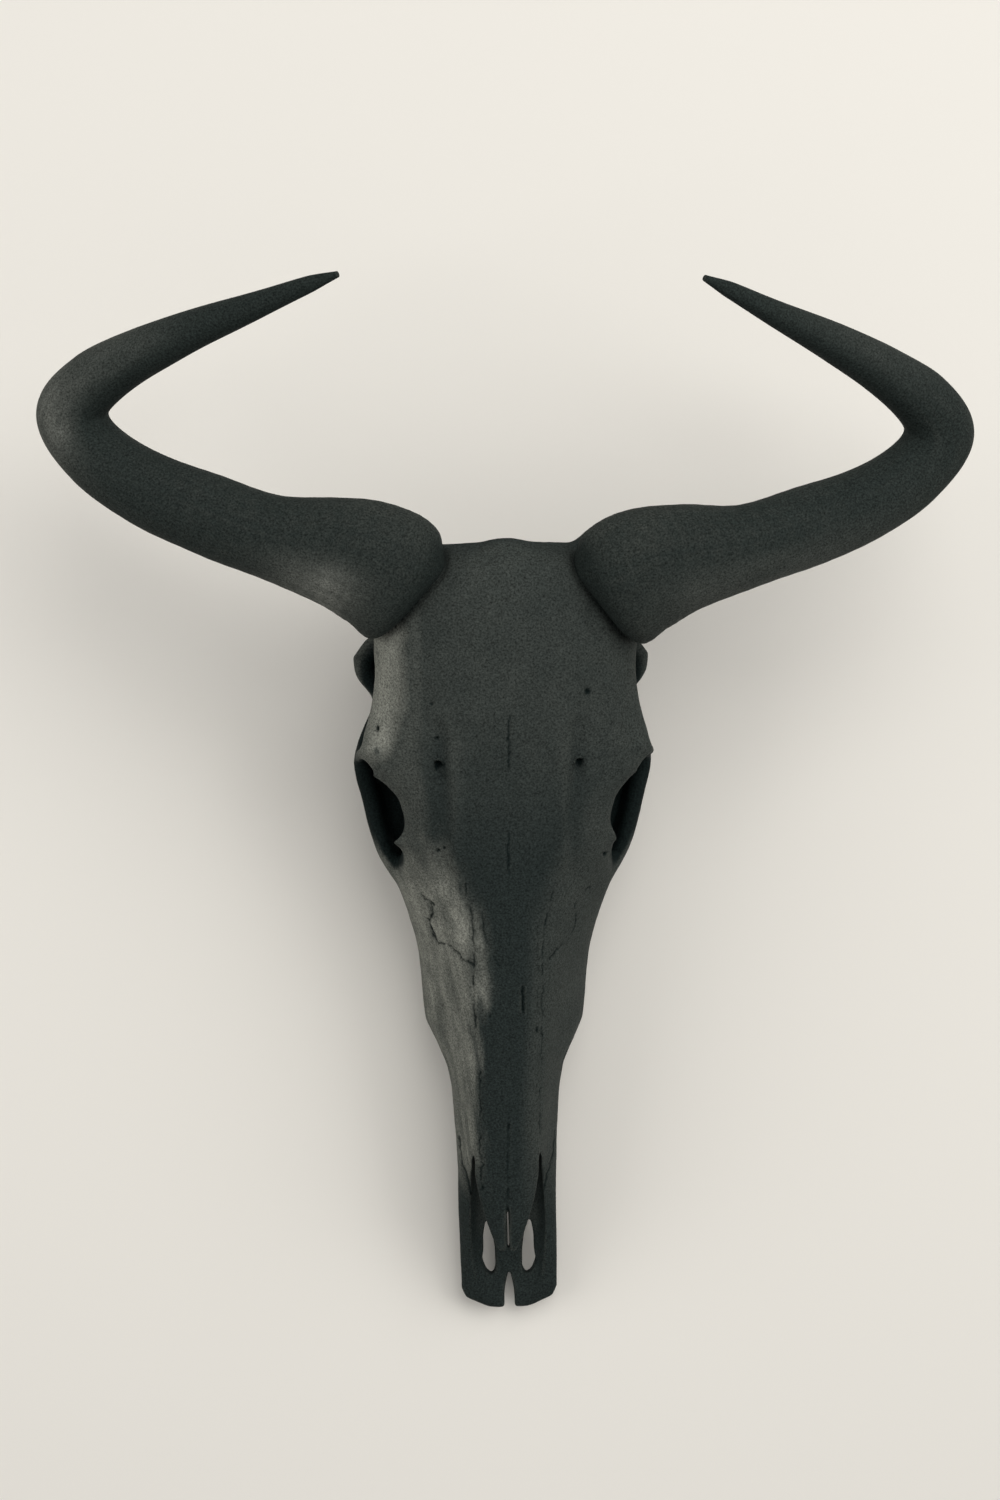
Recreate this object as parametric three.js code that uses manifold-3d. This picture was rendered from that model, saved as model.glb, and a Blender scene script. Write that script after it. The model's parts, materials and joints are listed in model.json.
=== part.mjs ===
// A life-size wildebeest skull without its lower jaw, painted matt black.
// It lies face up on its cheek teeth and on the two bony processes beside the neck joint.
// Units are millimetres. +Z is up, +Y runs from the muzzle to the horns, and +X is the animal's left.

import * as THREE from "three";
import { LoftGeometry } from "three/addons/geometries/LoftGeometry.js";
import { mergeVertices } from "three/addons/utils/BufferGeometryUtils.js";
import Module from "manifold-3d";

const wasm = await Module();
wasm.setup();

// Driving dimensions
const GAP = 0.35; // room left in every suture and round each horn
const RING_POINTS = 30; // points round one cross-section of the skull
const SECTION_COUNT = 42; // cross-sections from the muzzle tip to the back of the head
const END_CROWDING = 0.4; // how far sections crowd towards the two ends, from 0 to 1
const SUTURE_REACH = 900; // size of the block that parts two bones, larger than the skull
const HORN_RING_POINTS = 20;
const HORN_SECTIONS = 46;
const PAINT = { roughness: 0.85, metalness: 0 };
const BONE_COLOUR = 0x363b35;
const HORN_COLOUR = 0x292f2d;

// The lines of the left half of the skull, each from the muzzle back: [y, x, z].
// A cross-section at any y runs through one point of each line.
const SKULL_LINES = {
  // Midline of the back of the nose and forehead
  dorsum: [
    [-373, 0, 18.6], // muzzle tip
    [-350, 0, 29],
    [-300, 0, 55],
    [-272, 0, 74], // front of the nasal opening's side walls
    [-258, 0, 93], // roof of the nose
    [-242, 0, 98],
    [-222, 0, 103],
    [-200, 0, 108.4],
    [-130, 0, 124.6],
    [-60, 0, 143.5], // root of the nasal bones
    [0, 0, 161],
    [60, 0, 177],
    [92, 0, 182], // between the horns
    [114, 0, 176],
    [120, 0, 169],
    [123, 0, 160], // back of the head
  ],
  // Where the flat top turns down
  shoulder: [
    [-373, 7, 18],
    [-350, 17, 28.5],
    [-300, 18, 54],
    [-272, 19, 71],
    [-258, 19, 88],
    [-242, 19.2, 93],
    [-222, 19.4, 98],
    [-172, 20, 110.6],
    [-130, 22, 120.4],
    [-98, 26, 128.4],
    [-64, 34, 138],
    [-20, 55, 146.5],
    [20, 61, 155],
    [60, 61, 165],
    [95, 46, 175.5],
    [114, 28, 172],
    [125, 22, 156],
  ],
  // Outer edge of the forehead, rim of the eye socket and ridge along the nose
  edge: [
    [-373, 11, 17],
    [-364, 23, 22],
    [-350, 26, 27],
    [-300, 26.5, 48],
    [-262, 25.5, 69],
    [-215, 27, 84],
    [-172, 30.5, 94],
    [-130, 37, 101],
    [-90, 49, 108],
    [-68, 62, 113],
    [-52, 67, 119], // front corner of the socket
    [-38, 63, 125],
    [-22, 76, 128],
    [-6, 90.5, 126], // back corner of the socket
    [8, 89, 125],
    [24, 84, 124],
    [46, 80.5, 128], // waist behind the socket
    [72, 80.5, 146],
    [95, 66, 160], // under the horn
    [114, 50, 157],
    [125, 37, 148],
  ],
  // Braincase wall, inner wall of the socket, then the cheek
  side: [
    [-373, 14.5, 15],
    [-370, 25, 16],
    [-364, 30.6, 18],
    [-350, 31.8, 21],
    [-300, 32, 34],
    [-262, 32.6, 46],
    [-236, 33.8, 48],
    [-210, 36.5, 50],
    [-196, 41.5, 51],
    [-176, 51.5, 44], // bump above the first cheek teeth
    [-156, 53, 47],
    [-130, 55.5, 55],
    [-103, 62.5, 67],
    [-80, 69.5, 80], // root of the cheek arch
    [-66, 66.5, 85],
    [-50, 52, 90],
    [-32, 39, 96],
    [-10, 35, 100],
    [10, 38, 104],
    [38, 52, 100],
    [85, 56, 104],
    [110, 52, 104],
    [125, 41, 104],
  ],
  // Tooth-bearing edge, then the foot of the braincase
  low: [
    [-373, 10, 12.5],
    [-364, 22, 11.5],
    [-350, 27, 12],
    [-300, 26, 19],
    [-262, 25, 27],
    [-210, 29, 23],
    [-188, 37, 18],
    [-160, 43.5, 17],
    [-110, 46.5, 17],
    [-86, 46, 20],
    [-64, 38, 32],
    [-40, 26, 46],
    [-10, 17, 56],
    [10, 17, 58],
    [40, 24, 54],
    [85, 33, 51],
    [110, 34, 55],
    [125, 30, 64],
  ],
  // Midline of the palate and skull base
  keel: [
    [-373, 0, 12],
    [-350, 0, 13],
    [-300, 0, 22],
    [-262, 0, 29],
    [-172, 0, 28],
    [-86, 0, 30],
    [-64, 0, 37],
    [-40, 0, 45],
    [-10, 0, 53],
    [10, 0, 54],
    [40, 0, 49],
    [85, 0, 47],
    [110, 0, 50],
    [125, 0, 59],
  ],
};

// Left nasal bone: [y, inner x, outer x, crown z, fall from the crown to the outer edge, thickness]
const NASAL_STATIONS = [
  [-322, 2, 5.2, 77.5, 1.2, 3],
  [-312, 1.3, 10, 81, 2.5, 4],
  [-302, 1, 13.4, 84.5, 3.5, 4.5],
  [-288, 0.7, 17.4, 88.5, 5, 5],
  [-270, 0.5, 20.4, 93, 6.5, 5.5],
  [-235, 0.3, 19.4, 102, 6, 6.5],
  [-172, 0.3, 18.6, 116.6, 4.6, 7],
  [-110, 0.3, 18, 131.4, 3.6, 7],
  [-80, 0.3, 14.5, 139.2, 2.6, 6.5],
  [-58, 0.3, 4, 144.8, 0.8, 5],
];
const NASAL_SECTIONS = 18;
const NASAL_ARC_POINTS = 5;

// Nasal cavity: [y, half width, floor z, ceiling z]
const CAVITY_STATIONS = [
  [-380, 26, 20.5, 60],
  [-352, 26, 21.5, 70],
  [-330, 26, 25, 90],
  [-300, 25, 30, 110],
  [-262, 21.5, 38, 118],
  [-232, 17.5, 41, 118],
  [-226, 17, 42, 90],
  [-196, 11, 48, 86],
];
const CAVITY_RING_POINTS = 14;
const CAVITY_SECTIONS = 16;
const CAVITY_BOXINESS = 0.6;

// Openings in the front of the palate, as plan outlines of the left half
const PALATE_SLOT = [[14.2, -308], [16.8, -322], [16.8, -333], [18, -339], [15.4, -346.5], [11, -350],
  [8.6, -344], [8.9, -333], [10.6, -320]];
const FRONT_NOTCH = [[0.2, -344], [1.6, -352], [3.4, -361], [3.4, -367], [2.2, -374]];
const MIDLINE_SLIT = { halfWidth: 0.9, from: -332, to: -306, high: 40 };
const PALATE_CUT = { low: -5, high: 60 }; // heights that the openings run through

// Cheek teeth from the front one back: length along the row and width
const TOOTH_SIZES = [[9, 10], [11.5, 12.5], [13.5, 14.5], [17, 17], [20.5, 18], [21, 17]];
const TOOTH_ROW = { front: -194, frontX: 33.5, backX: 38.5, root: 25, spacing: 0.35 };
const TOOTH_OUTLINE_POINTS = 16;
const TOOTH_BOXINESS = 0.7;
const TOOTH_PINCH = 0.16; // depth of the fold between two lobes, and its width, as shares of the tooth
const ONE_LOBE_BELOW = 0.95; // a tooth shorter than this share of its width has one lobe

// Cheek arch from the cheek to the temple: [x, y, z, half width, half height]
const CHEEK_ARCH = [
  [62.5, -86, 72, 6, 9],
  [74, -66, 73, 6.5, 13],
  [79.5, -50, 75, 6.5, 12],
  [84.5, -28, 78, 6.8, 9.5],
  [89, -8, 81, 6.8, 8],
  [84, 14, 83, 4.6, 7],
  [77, 32, 84, 4.6, 7],
  [84.5, 44, 84, 6.5, 7],
  [87.5, 56, 83, 7.8, 7.5],
  [72, 69, 82, 9, 8],
  [46, 76, 82, 10, 9],
];
// Post behind the eye socket, from the brow down to the cheek arch
const EYE_POST = [
  [76, 0, 136, 6, 9],
  [85.5, -2, 126, 4.6, 7],
  [88.5, -3, 108, 4.2, 6],
  [89.5, -4, 86, 4.2, 6],
];
const ARCH_RING_POINTS = 10;
const ARCH_STEPS_PER_SPAN = 2;

// Rounded lumps of the braincase: [x, y, z, half sizes]
const HORN_PEDICLE = [62, 102, 150, 27, 33, 27];
const NECK_CONDYLE = [20, 117, 67, 14, 15, 19];
const EAR_BULB = [30, 62, 46, 12, 17, 17];
const JAW_JOINT = [68, 50, 74, 20, 17, 7];
const SOCKET_FLOOR = [63, -33, 62, 25, 43, 14];
const NAPE_KNOB = [0, 115, 158, 22, 11, 16];

// Process beside the neck joint, down to its flat foot: [x, y, z, half width, half depth]
const NECK_PROCESS = [
  [42, 92, 78, 13, 13],
  [45, 90, 50, 9.5, 13],
  [46, 87, 24, 7, 11],
  [45, 85, 0, 4.5, 7],
];

// Plate beside the inner nostrils, in side view: [y, z]
const PTERYGOID_PLATE = { x: 15.5, thickness: 4, outline: [[-78, 34], [-58, 33], [-34, 36], [-16, 42],
  [-8, 52], [-6, 62], [-40, 58], [-78, 46]] };
const INNER_NOSTRILS = [0, -36, 43, 13, 36, 15];

// Holes: [x, y, z, half sizes]
const NECK_HOLE = [0, 127, 80, 13, 26, 12];
const EAR_HOLE = [62, 84, 72, 16, 5, 5];
const BROW_HOLE = [43.5, 2, 159.5, 2.4, 3.4, 6];
const BROW_GROOVE = [42, -26, 150.5, 3.2, 34, 3.4];
const CHEEK_HOLE = [36, -203, 57, 6, 7, 4.5];

// Suture planes: a point on each and its normal, which points to the back or top of the head
const FACE_SUTURE = { point: [0, -69, 87.5], normal: [0, 0.968, 0.252] };
const MUZZLE_SUTURE = { point: [0, -282, 45], normal: [0, 0.757, -0.654] };
const ARCH_SUTURE = { point: [84, 30, 84], normal: [0, 0.9, 0.43] };
const POST_SUTURE = { point: [89, -3, 104], normal: [0, 0, 1] };

// Left horn from its root over the brow to its tip: [x, y, z, half width in the curve, half depth across it]
const HORN_STATIONS = [
  [40, 107.5, 166, 8, 20],
  [62, 99, 170, 38.5, 26],
  [82, 109, 173, 39, 28],
  [107, 116.5, 172, 33.5, 26.5],
  [144, 125, 167, 25.8, 24.5],
  [182, 138.5, 159, 25.2, 23],
  [220, 154.5, 151, 23, 22],
  [251, 174.5, 147, 20.5, 21],
  [267, 198.5, 150, 20.3, 20],
  [252.5, 216.5, 163, 17.8, 18.5],
  [224, 231, 179, 15.1, 16],
  [188.5, 243, 200, 11.6, 12.5],
  [149.5, 253.5, 225, 7.6, 8.5],
  [119, 262, 245, 4.6, 5],
  [104, 265.5, 255, 1.8, 1.8],
];
const HORN_AIM_SHARE = 0.05; // share of its length, each way, that a section's direction is taken over
const HORN_AIM_FROM = 0.13; // sections nearer the root than this share lie parallel
const HORN_DOME_SHARE = 0.055; // share of the horn's length that rounds off its root
const HORN_PLANE_NORMAL = new THREE.Vector3(0.05, -0.45, 0.89);
const HORN_TIP_LEAN = 1.8; // how far the left tip reaches back and the right tip forward
const HORN_ROOT_SHARE = 0.25; // how wide the horn's very root is, as a share of its full width
// The pair of horns sits slightly turned and tipped on the head
const HORN_SETTING = {
  centre: [0, 110, 170],
  size: 0.99,
  tipDegrees: -1.05,
  turnDegrees: -1.97,
  place: [1.5, 107.6, 170],
};

// Solids

// Turns a closed three.js geometry into a solid for joining and cutting.
function solidOf(geometry) {
  const bare = new THREE.BufferGeometry().copy(geometry);
  bare.deleteAttribute("normal");
  bare.deleteAttribute("uv");
  const merged = mergeVertices(bare, 1e-4);
  return new wasm.Manifold(new wasm.Mesh({
    numProp: 3,
    vertProperties: merged.attributes.position.array,
    triVerts: new Uint32Array(merged.index.array),
  }));
}

// Turns a solid back into a geometry, keeping its largest closed surface.
function geometryOf(solid) {
  const bodies = solid.decompose().sort((a, b) => b.volume() - a.volume());
  const mesh = bodies[0].getMesh();
  const geometry = new THREE.BufferGeometry();
  geometry.setAttribute("position", new THREE.BufferAttribute(mesh.vertProperties, 3));
  geometry.setIndex(new THREE.BufferAttribute(mesh.triVerts, 1));
  geometry.computeVertexNormals();
  return geometry;
}

const joined = (solids) => solids.reduce((whole, solid) => whole.add(solid));

// The same solid on the other side of the midline.
function mirrored(solid) {
  const { vertProperties, triVerts } = solid.getMesh();
  return new wasm.Manifold(new wasm.Mesh({
    numProp: 3,
    vertProperties: vertProperties.map((value, i) => (i % 3 === 0 ? -value : value)),
    triVerts: triVerts.map((_, i) => triVerts[i - (i % 3) + 2 - (i % 3)]),
  }));
}
const bothSides = (solid) => solid.add(mirrored(solid));

function ellipsoid([x, y, z, halfX, halfY, halfZ], grow = 0, segments = 12) {
  const geometry = new THREE.SphereGeometry(1, segments, Math.round(segments * 0.6));
  geometry.scale(halfX + grow, halfY + grow, halfZ + grow).translate(x, y, z);
  return solidOf(geometry);
}

// Smooth values between rows whose first number is the place along the skull.
function interpolantOf(rows) {
  const places = rows.map((row) => row[0]);
  const values = rows.flatMap((row) => row.slice(1));
  return new THREE.CubicInterpolant(places, values, rows[0].length - 1);
}

// The two half sizes along stations [x, y, z, half size, half size], by the share of the way.
function sizesAlong(stations) {
  return interpolantOf(stations.map((row, i) => [i / (stations.length - 1), row[3], row[4]]));
}

// Places along a loft, closer together at its two ends.
function placesBetween(first, last, count) {
  return Array.from({ length: count }, (_, i) => {
    const even = i / (count - 1);
    const eased = 0.5 - 0.5 * Math.cos(Math.PI * even);
    return THREE.MathUtils.lerp(first, last, THREE.MathUtils.lerp(even, eased, END_CROWDING));
  });
}

// Flattens a sine or cosine towards a box's outline.
const boxy = (value, power) => Math.sign(value) * Math.abs(value) ** power;

// Moves each point of a section in the XZ plane outwards by a small amount.
function grownSection(points, grow) {
  const count = points.length;
  return points.map((point, i) => {
    const before = points[(i + count - 1) % count];
    const after = points[(i + 1) % count];
    const along = new THREE.Vector3().subVectors(after, before).normalize();
    return new THREE.Vector3(point.x - along.z * grow, point.y, point.z + along.x * grow);
  });
}

function loftOf(sections) {
  return solidOf(new LoftGeometry(sections, { capStart: true, capEnd: true }));
}

// Skull body

const lineValues = Object.values(SKULL_LINES).map(interpolantOf);

function skullSection(y, grow) {
  const half = lineValues.map((line) => {
    const [x, z] = line.evaluate(y);
    return new THREE.Vector3(x, y, z);
  });
  const otherHalf = half.slice(1, -1).reverse().map((point) => new THREE.Vector3(-point.x, y, point.z));
  const ring = new THREE.CatmullRomCurve3([...half, ...otherHalf], true, "centripetal");
  const points = Array.from({ length: RING_POINTS }, (_, i) => ring.getPoint(i / RING_POINTS));
  return grownSection(points, grow);
}

function skullBody(grow = 0) {
  const first = SKULL_LINES.dorsum[0][0];
  const last = SKULL_LINES.dorsum[SKULL_LINES.dorsum.length - 1][0];
  return loftOf(placesBetween(first, last, SECTION_COUNT).map((y) => skullSection(y, grow)));
}

// A bar with an oval section along stations [x, y, z, half width, half height].
// With a flat foot all its sections lie level.
function ovalBar(stations, flatFoot = false) {
  const path = new THREE.CatmullRomCurve3(stations.map(([x, y, z]) => new THREE.Vector3(x, y, z)));
  const sizes = sizesAlong(stations);
  const steps = (stations.length - 1) * ARCH_STEPS_PER_SPAN;
  const sections = Array.from({ length: steps + 1 }, (_, i) => {
    const share = i / steps;
    const centre = path.getPoint(share);
    const tangent = flatFoot ? new THREE.Vector3(0, 0, -1) : path.getTangent(share);
    const [halfWidth, halfHeight] = sizes.evaluate(share);
    const upright = flatFoot ? new THREE.Vector3(0, 1, 0) : new THREE.Vector3(0, 0, 1);
    const across = new THREE.Vector3().crossVectors(tangent, upright).normalize();
    const rise = new THREE.Vector3().crossVectors(across, tangent).normalize();
    return Array.from({ length: ARCH_RING_POINTS }, (_, k) => {
      const angle = (k / ARCH_RING_POINTS) * 2 * Math.PI;
      return centre.clone()
        .addScaledVector(across, Math.cos(angle) * halfWidth)
        .addScaledVector(rise, -Math.sin(angle) * halfHeight);
    });
  });
  return loftOf(sections);
}

// A prism from a plan outline [x, y], through the heights from low to high.
function plateFromPlan(outline, low, high) {
  const shape = new THREE.Shape(outline.map(([x, y]) => new THREE.Vector2(x, y)));
  const geometry = new THREE.ExtrudeGeometry(shape, { depth: high - low, bevelEnabled: false });
  return solidOf(geometry.translate(0, 0, low));
}

function pterygoidPlate() {
  const { x, thickness, outline } = PTERYGOID_PLATE;
  const shape = new THREE.Shape(outline.map(([y, z]) => new THREE.Vector2(y, z)));
  const geometry = new THREE.ExtrudeGeometry(shape, { depth: thickness, bevelEnabled: false });
  geometry.rotateX(Math.PI / 2).rotateZ(Math.PI / 2).translate(x - thickness / 2, 0, 0);
  return solidOf(geometry);
}

// The part of a solid behind a suture plane, or ahead of it, less half the suture's gap.
function beyond(solid, { point, normal }, ahead = false) {
  const direction = new THREE.Vector3(...normal).normalize().multiplyScalar(ahead ? -1 : 1);
  const turn = new THREE.Quaternion().setFromUnitVectors(new THREE.Vector3(0, 0, 1), direction);
  const box = new THREE.BoxGeometry(SUTURE_REACH, SUTURE_REACH, SUTURE_REACH);
  box.translate(0, 0, (SUTURE_REACH + GAP) / 2);
  return solid.intersect(solidOf(box.applyQuaternion(turn).translate(...point)));
}
const ahead = (solid, suture) => beyond(solid, suture, true);

// Nose

const nasalValues = interpolantOf(NASAL_STATIONS);

// The left nasal bone: an arched plate that narrows to a free tip.
function nasalBone(grow = 0) {
  const first = NASAL_STATIONS[0][0];
  const last = NASAL_STATIONS[NASAL_STATIONS.length - 1][0];
  const sections = placesBetween(first - grow, last + grow, NASAL_SECTIONS).map((y) => {
    const inside = THREE.MathUtils.clamp(y, first, last);
    const [innerX, outerX, crownZ, fall, thickness] = nasalValues.evaluate(inside);
    const arc = Array.from({ length: NASAL_ARC_POINTS }, (_, i) => {
      const share = i / (NASAL_ARC_POINTS - 1);
      return [THREE.MathUtils.lerp(innerX - grow, outerX + grow, share), crownZ - fall * share ** 2];
    });
    const top = arc.map(([x, z]) => new THREE.Vector3(x, y, z + grow));
    const under = arc.map(([x, z]) => new THREE.Vector3(x, y, z - thickness - grow)).reverse();
    return [...top, ...under];
  });
  return loftOf(sections);
}

function nasalCavity() {
  const stations = interpolantOf(CAVITY_STATIONS);
  const first = CAVITY_STATIONS[0][0];
  const last = CAVITY_STATIONS[CAVITY_STATIONS.length - 1][0];
  const sections = placesBetween(first, last, CAVITY_SECTIONS).map((y) => {
    const [halfWidth, floor, ceiling] = stations.evaluate(y);
    const halfHeight = (ceiling - floor) / 2;
    return Array.from({ length: CAVITY_RING_POINTS }, (_, i) => {
      const angle = (-i / CAVITY_RING_POINTS) * 2 * Math.PI;
      const x = halfWidth * boxy(Math.cos(angle), CAVITY_BOXINESS);
      const z = floor + halfHeight * (1 + boxy(Math.sin(angle), CAVITY_BOXINESS));
      return new THREE.Vector3(x, y, z);
    });
  });
  return loftOf(sections);
}

function muzzleOpenings() {
  const { low, high } = PALATE_CUT;
  const slots = bothSides(plateFromPlan(PALATE_SLOT, low, high));
  const rightEdge = FRONT_NOTCH.map(([x, y]) => [-x, y]).reverse();
  const notch = plateFromPlan([...rightEdge, ...FRONT_NOTCH], low, high);
  const { halfWidth, from, to, high: slitHigh } = MIDLINE_SLIT;
  const slitOutline = [[-halfWidth, from], [halfWidth, from], [halfWidth, to], [-halfWidth, to]];
  return joined([slots, notch, plateFromPlan(slitOutline, low, slitHigh)]);
}

// Teeth

// One cheek tooth with two lobes, worn flat at the floor.
function cheekTooth(length, width, x, y, lean) {
  const fold = length > width * ONE_LOBE_BELOW ? TOOTH_PINCH : 0;
  const points = Array.from({ length: TOOTH_OUTLINE_POINTS }, (_, i) => {
    const angle = (i / TOOTH_OUTLINE_POINTS) * 2 * Math.PI;
    const along = (length / 2) * boxy(Math.sin(angle), TOOTH_BOXINESS);
    const pinch = 1 - fold * Math.exp(-((along / (TOOTH_PINCH * length)) ** 2));
    return new THREE.Vector2((width / 2) * boxy(Math.cos(angle), TOOTH_BOXINESS) * pinch, along);
  });
  const shape = new THREE.Shape(points);
  const geometry = new THREE.ExtrudeGeometry(shape, { depth: TOOTH_ROW.root, bevelEnabled: false });
  return solidOf(geometry.rotateZ(lean).translate(x, y, 0));
}

function toothRow() {
  const { front, frontX, backX, spacing } = TOOTH_ROW;
  const rowLength = TOOTH_SIZES.reduce((sum, [length]) => sum + length + spacing, 0);
  const lean = -Math.atan2(backX - frontX, rowLength);
  let y = front;
  return TOOTH_SIZES.map(([length, width]) => {
    const middle = y + length / 2;
    y += length + spacing;
    const x = THREE.MathUtils.lerp(frontX, backX, (middle - front) / rowLength);
    return cheekTooth(length + 2 * spacing, width, x, middle, lean);
  });
}

// Horn

const hornPath = new THREE.CatmullRomCurve3(HORN_STATIONS.map(([x, y, z]) => new THREE.Vector3(x, y, z)));
const hornSizes = sizesAlong(HORN_STATIONS);

// One horn, on the left where side is 1 and on the right where it is -1.
function hornSheath(side) {
  const sections = placesBetween(0, 1, HORN_SECTIONS).map((share) => {
    const centre = hornPath.getPoint(share);
    const aimShare = Math.max(share, HORN_AIM_FROM);
    const aim = hornPath.getPoint(Math.min(1, aimShare + HORN_AIM_SHARE));
    const tangent = aim.sub(hornPath.getPoint(aimShare - HORN_AIM_SHARE)).normalize();
    const lift = HORN_PLANE_NORMAL.dot(tangent);
    const depthAxis = HORN_PLANE_NORMAL.clone().addScaledVector(tangent, -lift).normalize();
    const widthAxis = new THREE.Vector3().crossVectors(tangent, depthAxis).normalize();
    const domeShare = Math.min(1, share / HORN_DOME_SHARE);
    const dome = THREE.MathUtils.lerp(HORN_ROOT_SHARE, 1, Math.sqrt(1 - (1 - domeShare) ** 2));
    const [halfWidth, halfDepth] = hornSizes.evaluate(share);
    return Array.from({ length: HORN_RING_POINTS }, (_, k) => {
      const angle = (side * k * 2 * Math.PI) / HORN_RING_POINTS;
      const point = centre.clone()
        .addScaledVector(widthAxis, Math.cos(angle) * halfWidth * dome)
        .addScaledVector(depthAxis, -Math.sin(angle) * halfDepth * dome);
      return point.set(side * point.x, point.y + side * HORN_TIP_LEAN * share ** 2, point.z);
    });
  });
  const geometry = new LoftGeometry(sections, { capStart: true, capEnd: true });
  const { centre: [x, y, z], size, tipDegrees, turnDegrees, place } = HORN_SETTING;
  geometry.translate(-x, -y, -z).scale(size, size, size)
    .rotateX(THREE.MathUtils.degToRad(tipDegrees))
    .rotateZ(THREE.MathUtils.degToRad(turnDegrees))
    .translate(...place);
  return solidOf(geometry);
}

// Whole bone, then its parts

const bodyRoom = skullBody(GAP);
const cheekArch = ovalBar(CHEEK_ARCH);
const eyePost = ovalBar(EYE_POST);
const cavities = joined([
  nasalCavity(),
  ellipsoid(NECK_HOLE),
  ellipsoid(INNER_NOSTRILS),
  bothSides(joined([EAR_HOLE, BROW_HOLE, BROW_GROOVE, CHEEK_HOLE].map((hole) => ellipsoid(hole, 0, 10)))),
  bothSides(nasalBone(GAP)),
  muzzleOpenings(),
]);
const lumps = [HORN_PEDICLE, NECK_CONDYLE, EAR_BULB, JAW_JOINT, SOCKET_FLOOR].map((lump) => ellipsoid(lump));
const wholeBone = joined([
  skullBody(),
  bothSides(joined(lumps)),
  bothSides(beyond(cheekArch, ARCH_SUTURE)),
  bothSides(beyond(eyePost, POST_SUTURE)),
  bothSides(ovalBar(NECK_PROCESS, true)),
  bothSides(pterygoidPlate()),
  ellipsoid(NAPE_KNOB),
]).subtract(cavities);

const cranium = beyond(wholeBone, FACE_SUTURE);
const face = ahead(wholeBone, FACE_SUTURE);
const upperJaw = beyond(face, MUZZLE_SUTURE).add(bothSides(joined(toothRow())));
const leftMuzzle = beyond(ahead(face, MUZZLE_SUTURE), { point: [0, 0, 0], normal: [1, 0, 0] });
const cheekSeat = bodyRoom.add(ellipsoid(SOCKET_FLOOR, GAP));
const leftCheek = ahead(cheekArch, ARCH_SUTURE).add(ahead(eyePost, POST_SUTURE)).subtract(cheekSeat);
const hornSeat = joined([bodyRoom, bothSides(ellipsoid(HORN_PEDICLE, GAP)), ellipsoid(NAPE_KNOB, GAP)]);

const bone = new THREE.MeshStandardMaterial({ color: BONE_COLOUR, ...PAINT });
const horn = new THREE.MeshStandardMaterial({ color: HORN_COLOUR, ...PAINT });
const skull = new THREE.Group();

function addPart(name, solid, material) {
  const mesh = new THREE.Mesh(geometryOf(solid), material);
  mesh.name = name;
  skull.add(mesh);
}

addPart("cranium", cranium, bone);
addPart("upper_jaw", upperJaw, bone);
for (const [name, solid] of [
  ["premaxilla", leftMuzzle],
  ["nasal", nasalBone()],
  ["cheekbone", leftCheek],
]) {
  addPart(`${name}_left`, solid, bone);
  addPart(`${name}_right`, mirrored(solid), bone);
}
addPart("horn_left", hornSheath(1).subtract(hornSeat), horn);
addPart("horn_right", hornSheath(-1).subtract(hornSeat), horn);

// The origin is the middle of the base of the whole skull's box.
const box = new THREE.Box3().setFromObject(skull);
const middle = box.getCenter(new THREE.Vector3());
skull.children.forEach((mesh) => mesh.position.set(-middle.x, -middle.y, -box.min.z));

export default skull;
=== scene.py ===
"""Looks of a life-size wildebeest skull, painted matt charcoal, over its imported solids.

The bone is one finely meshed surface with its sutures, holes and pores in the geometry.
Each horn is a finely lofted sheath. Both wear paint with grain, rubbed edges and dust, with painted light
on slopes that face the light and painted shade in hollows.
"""

import json
import logging
import math
from dataclasses import dataclass, field, replace
from enum import Enum
from itertools import product

import bmesh
import bpy
import numpy as np
from mathutils import Matrix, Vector
from mathutils.kdtree import KDTree

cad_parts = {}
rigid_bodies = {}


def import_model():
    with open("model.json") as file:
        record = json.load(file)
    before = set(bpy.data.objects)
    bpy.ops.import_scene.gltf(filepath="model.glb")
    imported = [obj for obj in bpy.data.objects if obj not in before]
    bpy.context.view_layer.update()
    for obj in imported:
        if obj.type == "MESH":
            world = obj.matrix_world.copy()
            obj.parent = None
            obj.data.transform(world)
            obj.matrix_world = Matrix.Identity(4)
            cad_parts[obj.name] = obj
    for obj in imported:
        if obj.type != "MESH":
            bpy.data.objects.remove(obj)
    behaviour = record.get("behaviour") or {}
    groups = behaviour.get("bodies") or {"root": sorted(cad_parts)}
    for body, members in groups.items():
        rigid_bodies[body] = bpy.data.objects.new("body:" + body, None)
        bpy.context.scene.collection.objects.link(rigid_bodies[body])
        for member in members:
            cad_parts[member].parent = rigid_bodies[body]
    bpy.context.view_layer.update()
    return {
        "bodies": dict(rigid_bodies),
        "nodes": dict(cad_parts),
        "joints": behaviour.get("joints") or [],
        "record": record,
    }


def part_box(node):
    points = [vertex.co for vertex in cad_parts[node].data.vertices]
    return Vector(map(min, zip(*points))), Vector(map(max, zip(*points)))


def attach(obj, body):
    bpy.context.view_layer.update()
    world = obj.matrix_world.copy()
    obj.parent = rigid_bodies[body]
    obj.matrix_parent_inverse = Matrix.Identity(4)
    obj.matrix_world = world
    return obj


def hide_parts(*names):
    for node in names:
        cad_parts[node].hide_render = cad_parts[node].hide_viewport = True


Array = np.ndarray
Row = tuple[float, ...]
Plan = tuple[tuple[float, float], ...]

MM = 0.001
BODY = "root"
LOG = logging.getLogger("wildebeest_skull")
COLOUR_MIX_INPUTS = (0, 6, 7)  # factor, colour below and colour above, among a mix node's inputs
COLOUR_MIX_RESULT = 2
FINE_PASSES = 6  # passes of blur against which small edges and cracks stand out
BROAD_PASSES = 40  # passes of blur against which large edges and hollows stand out


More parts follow.
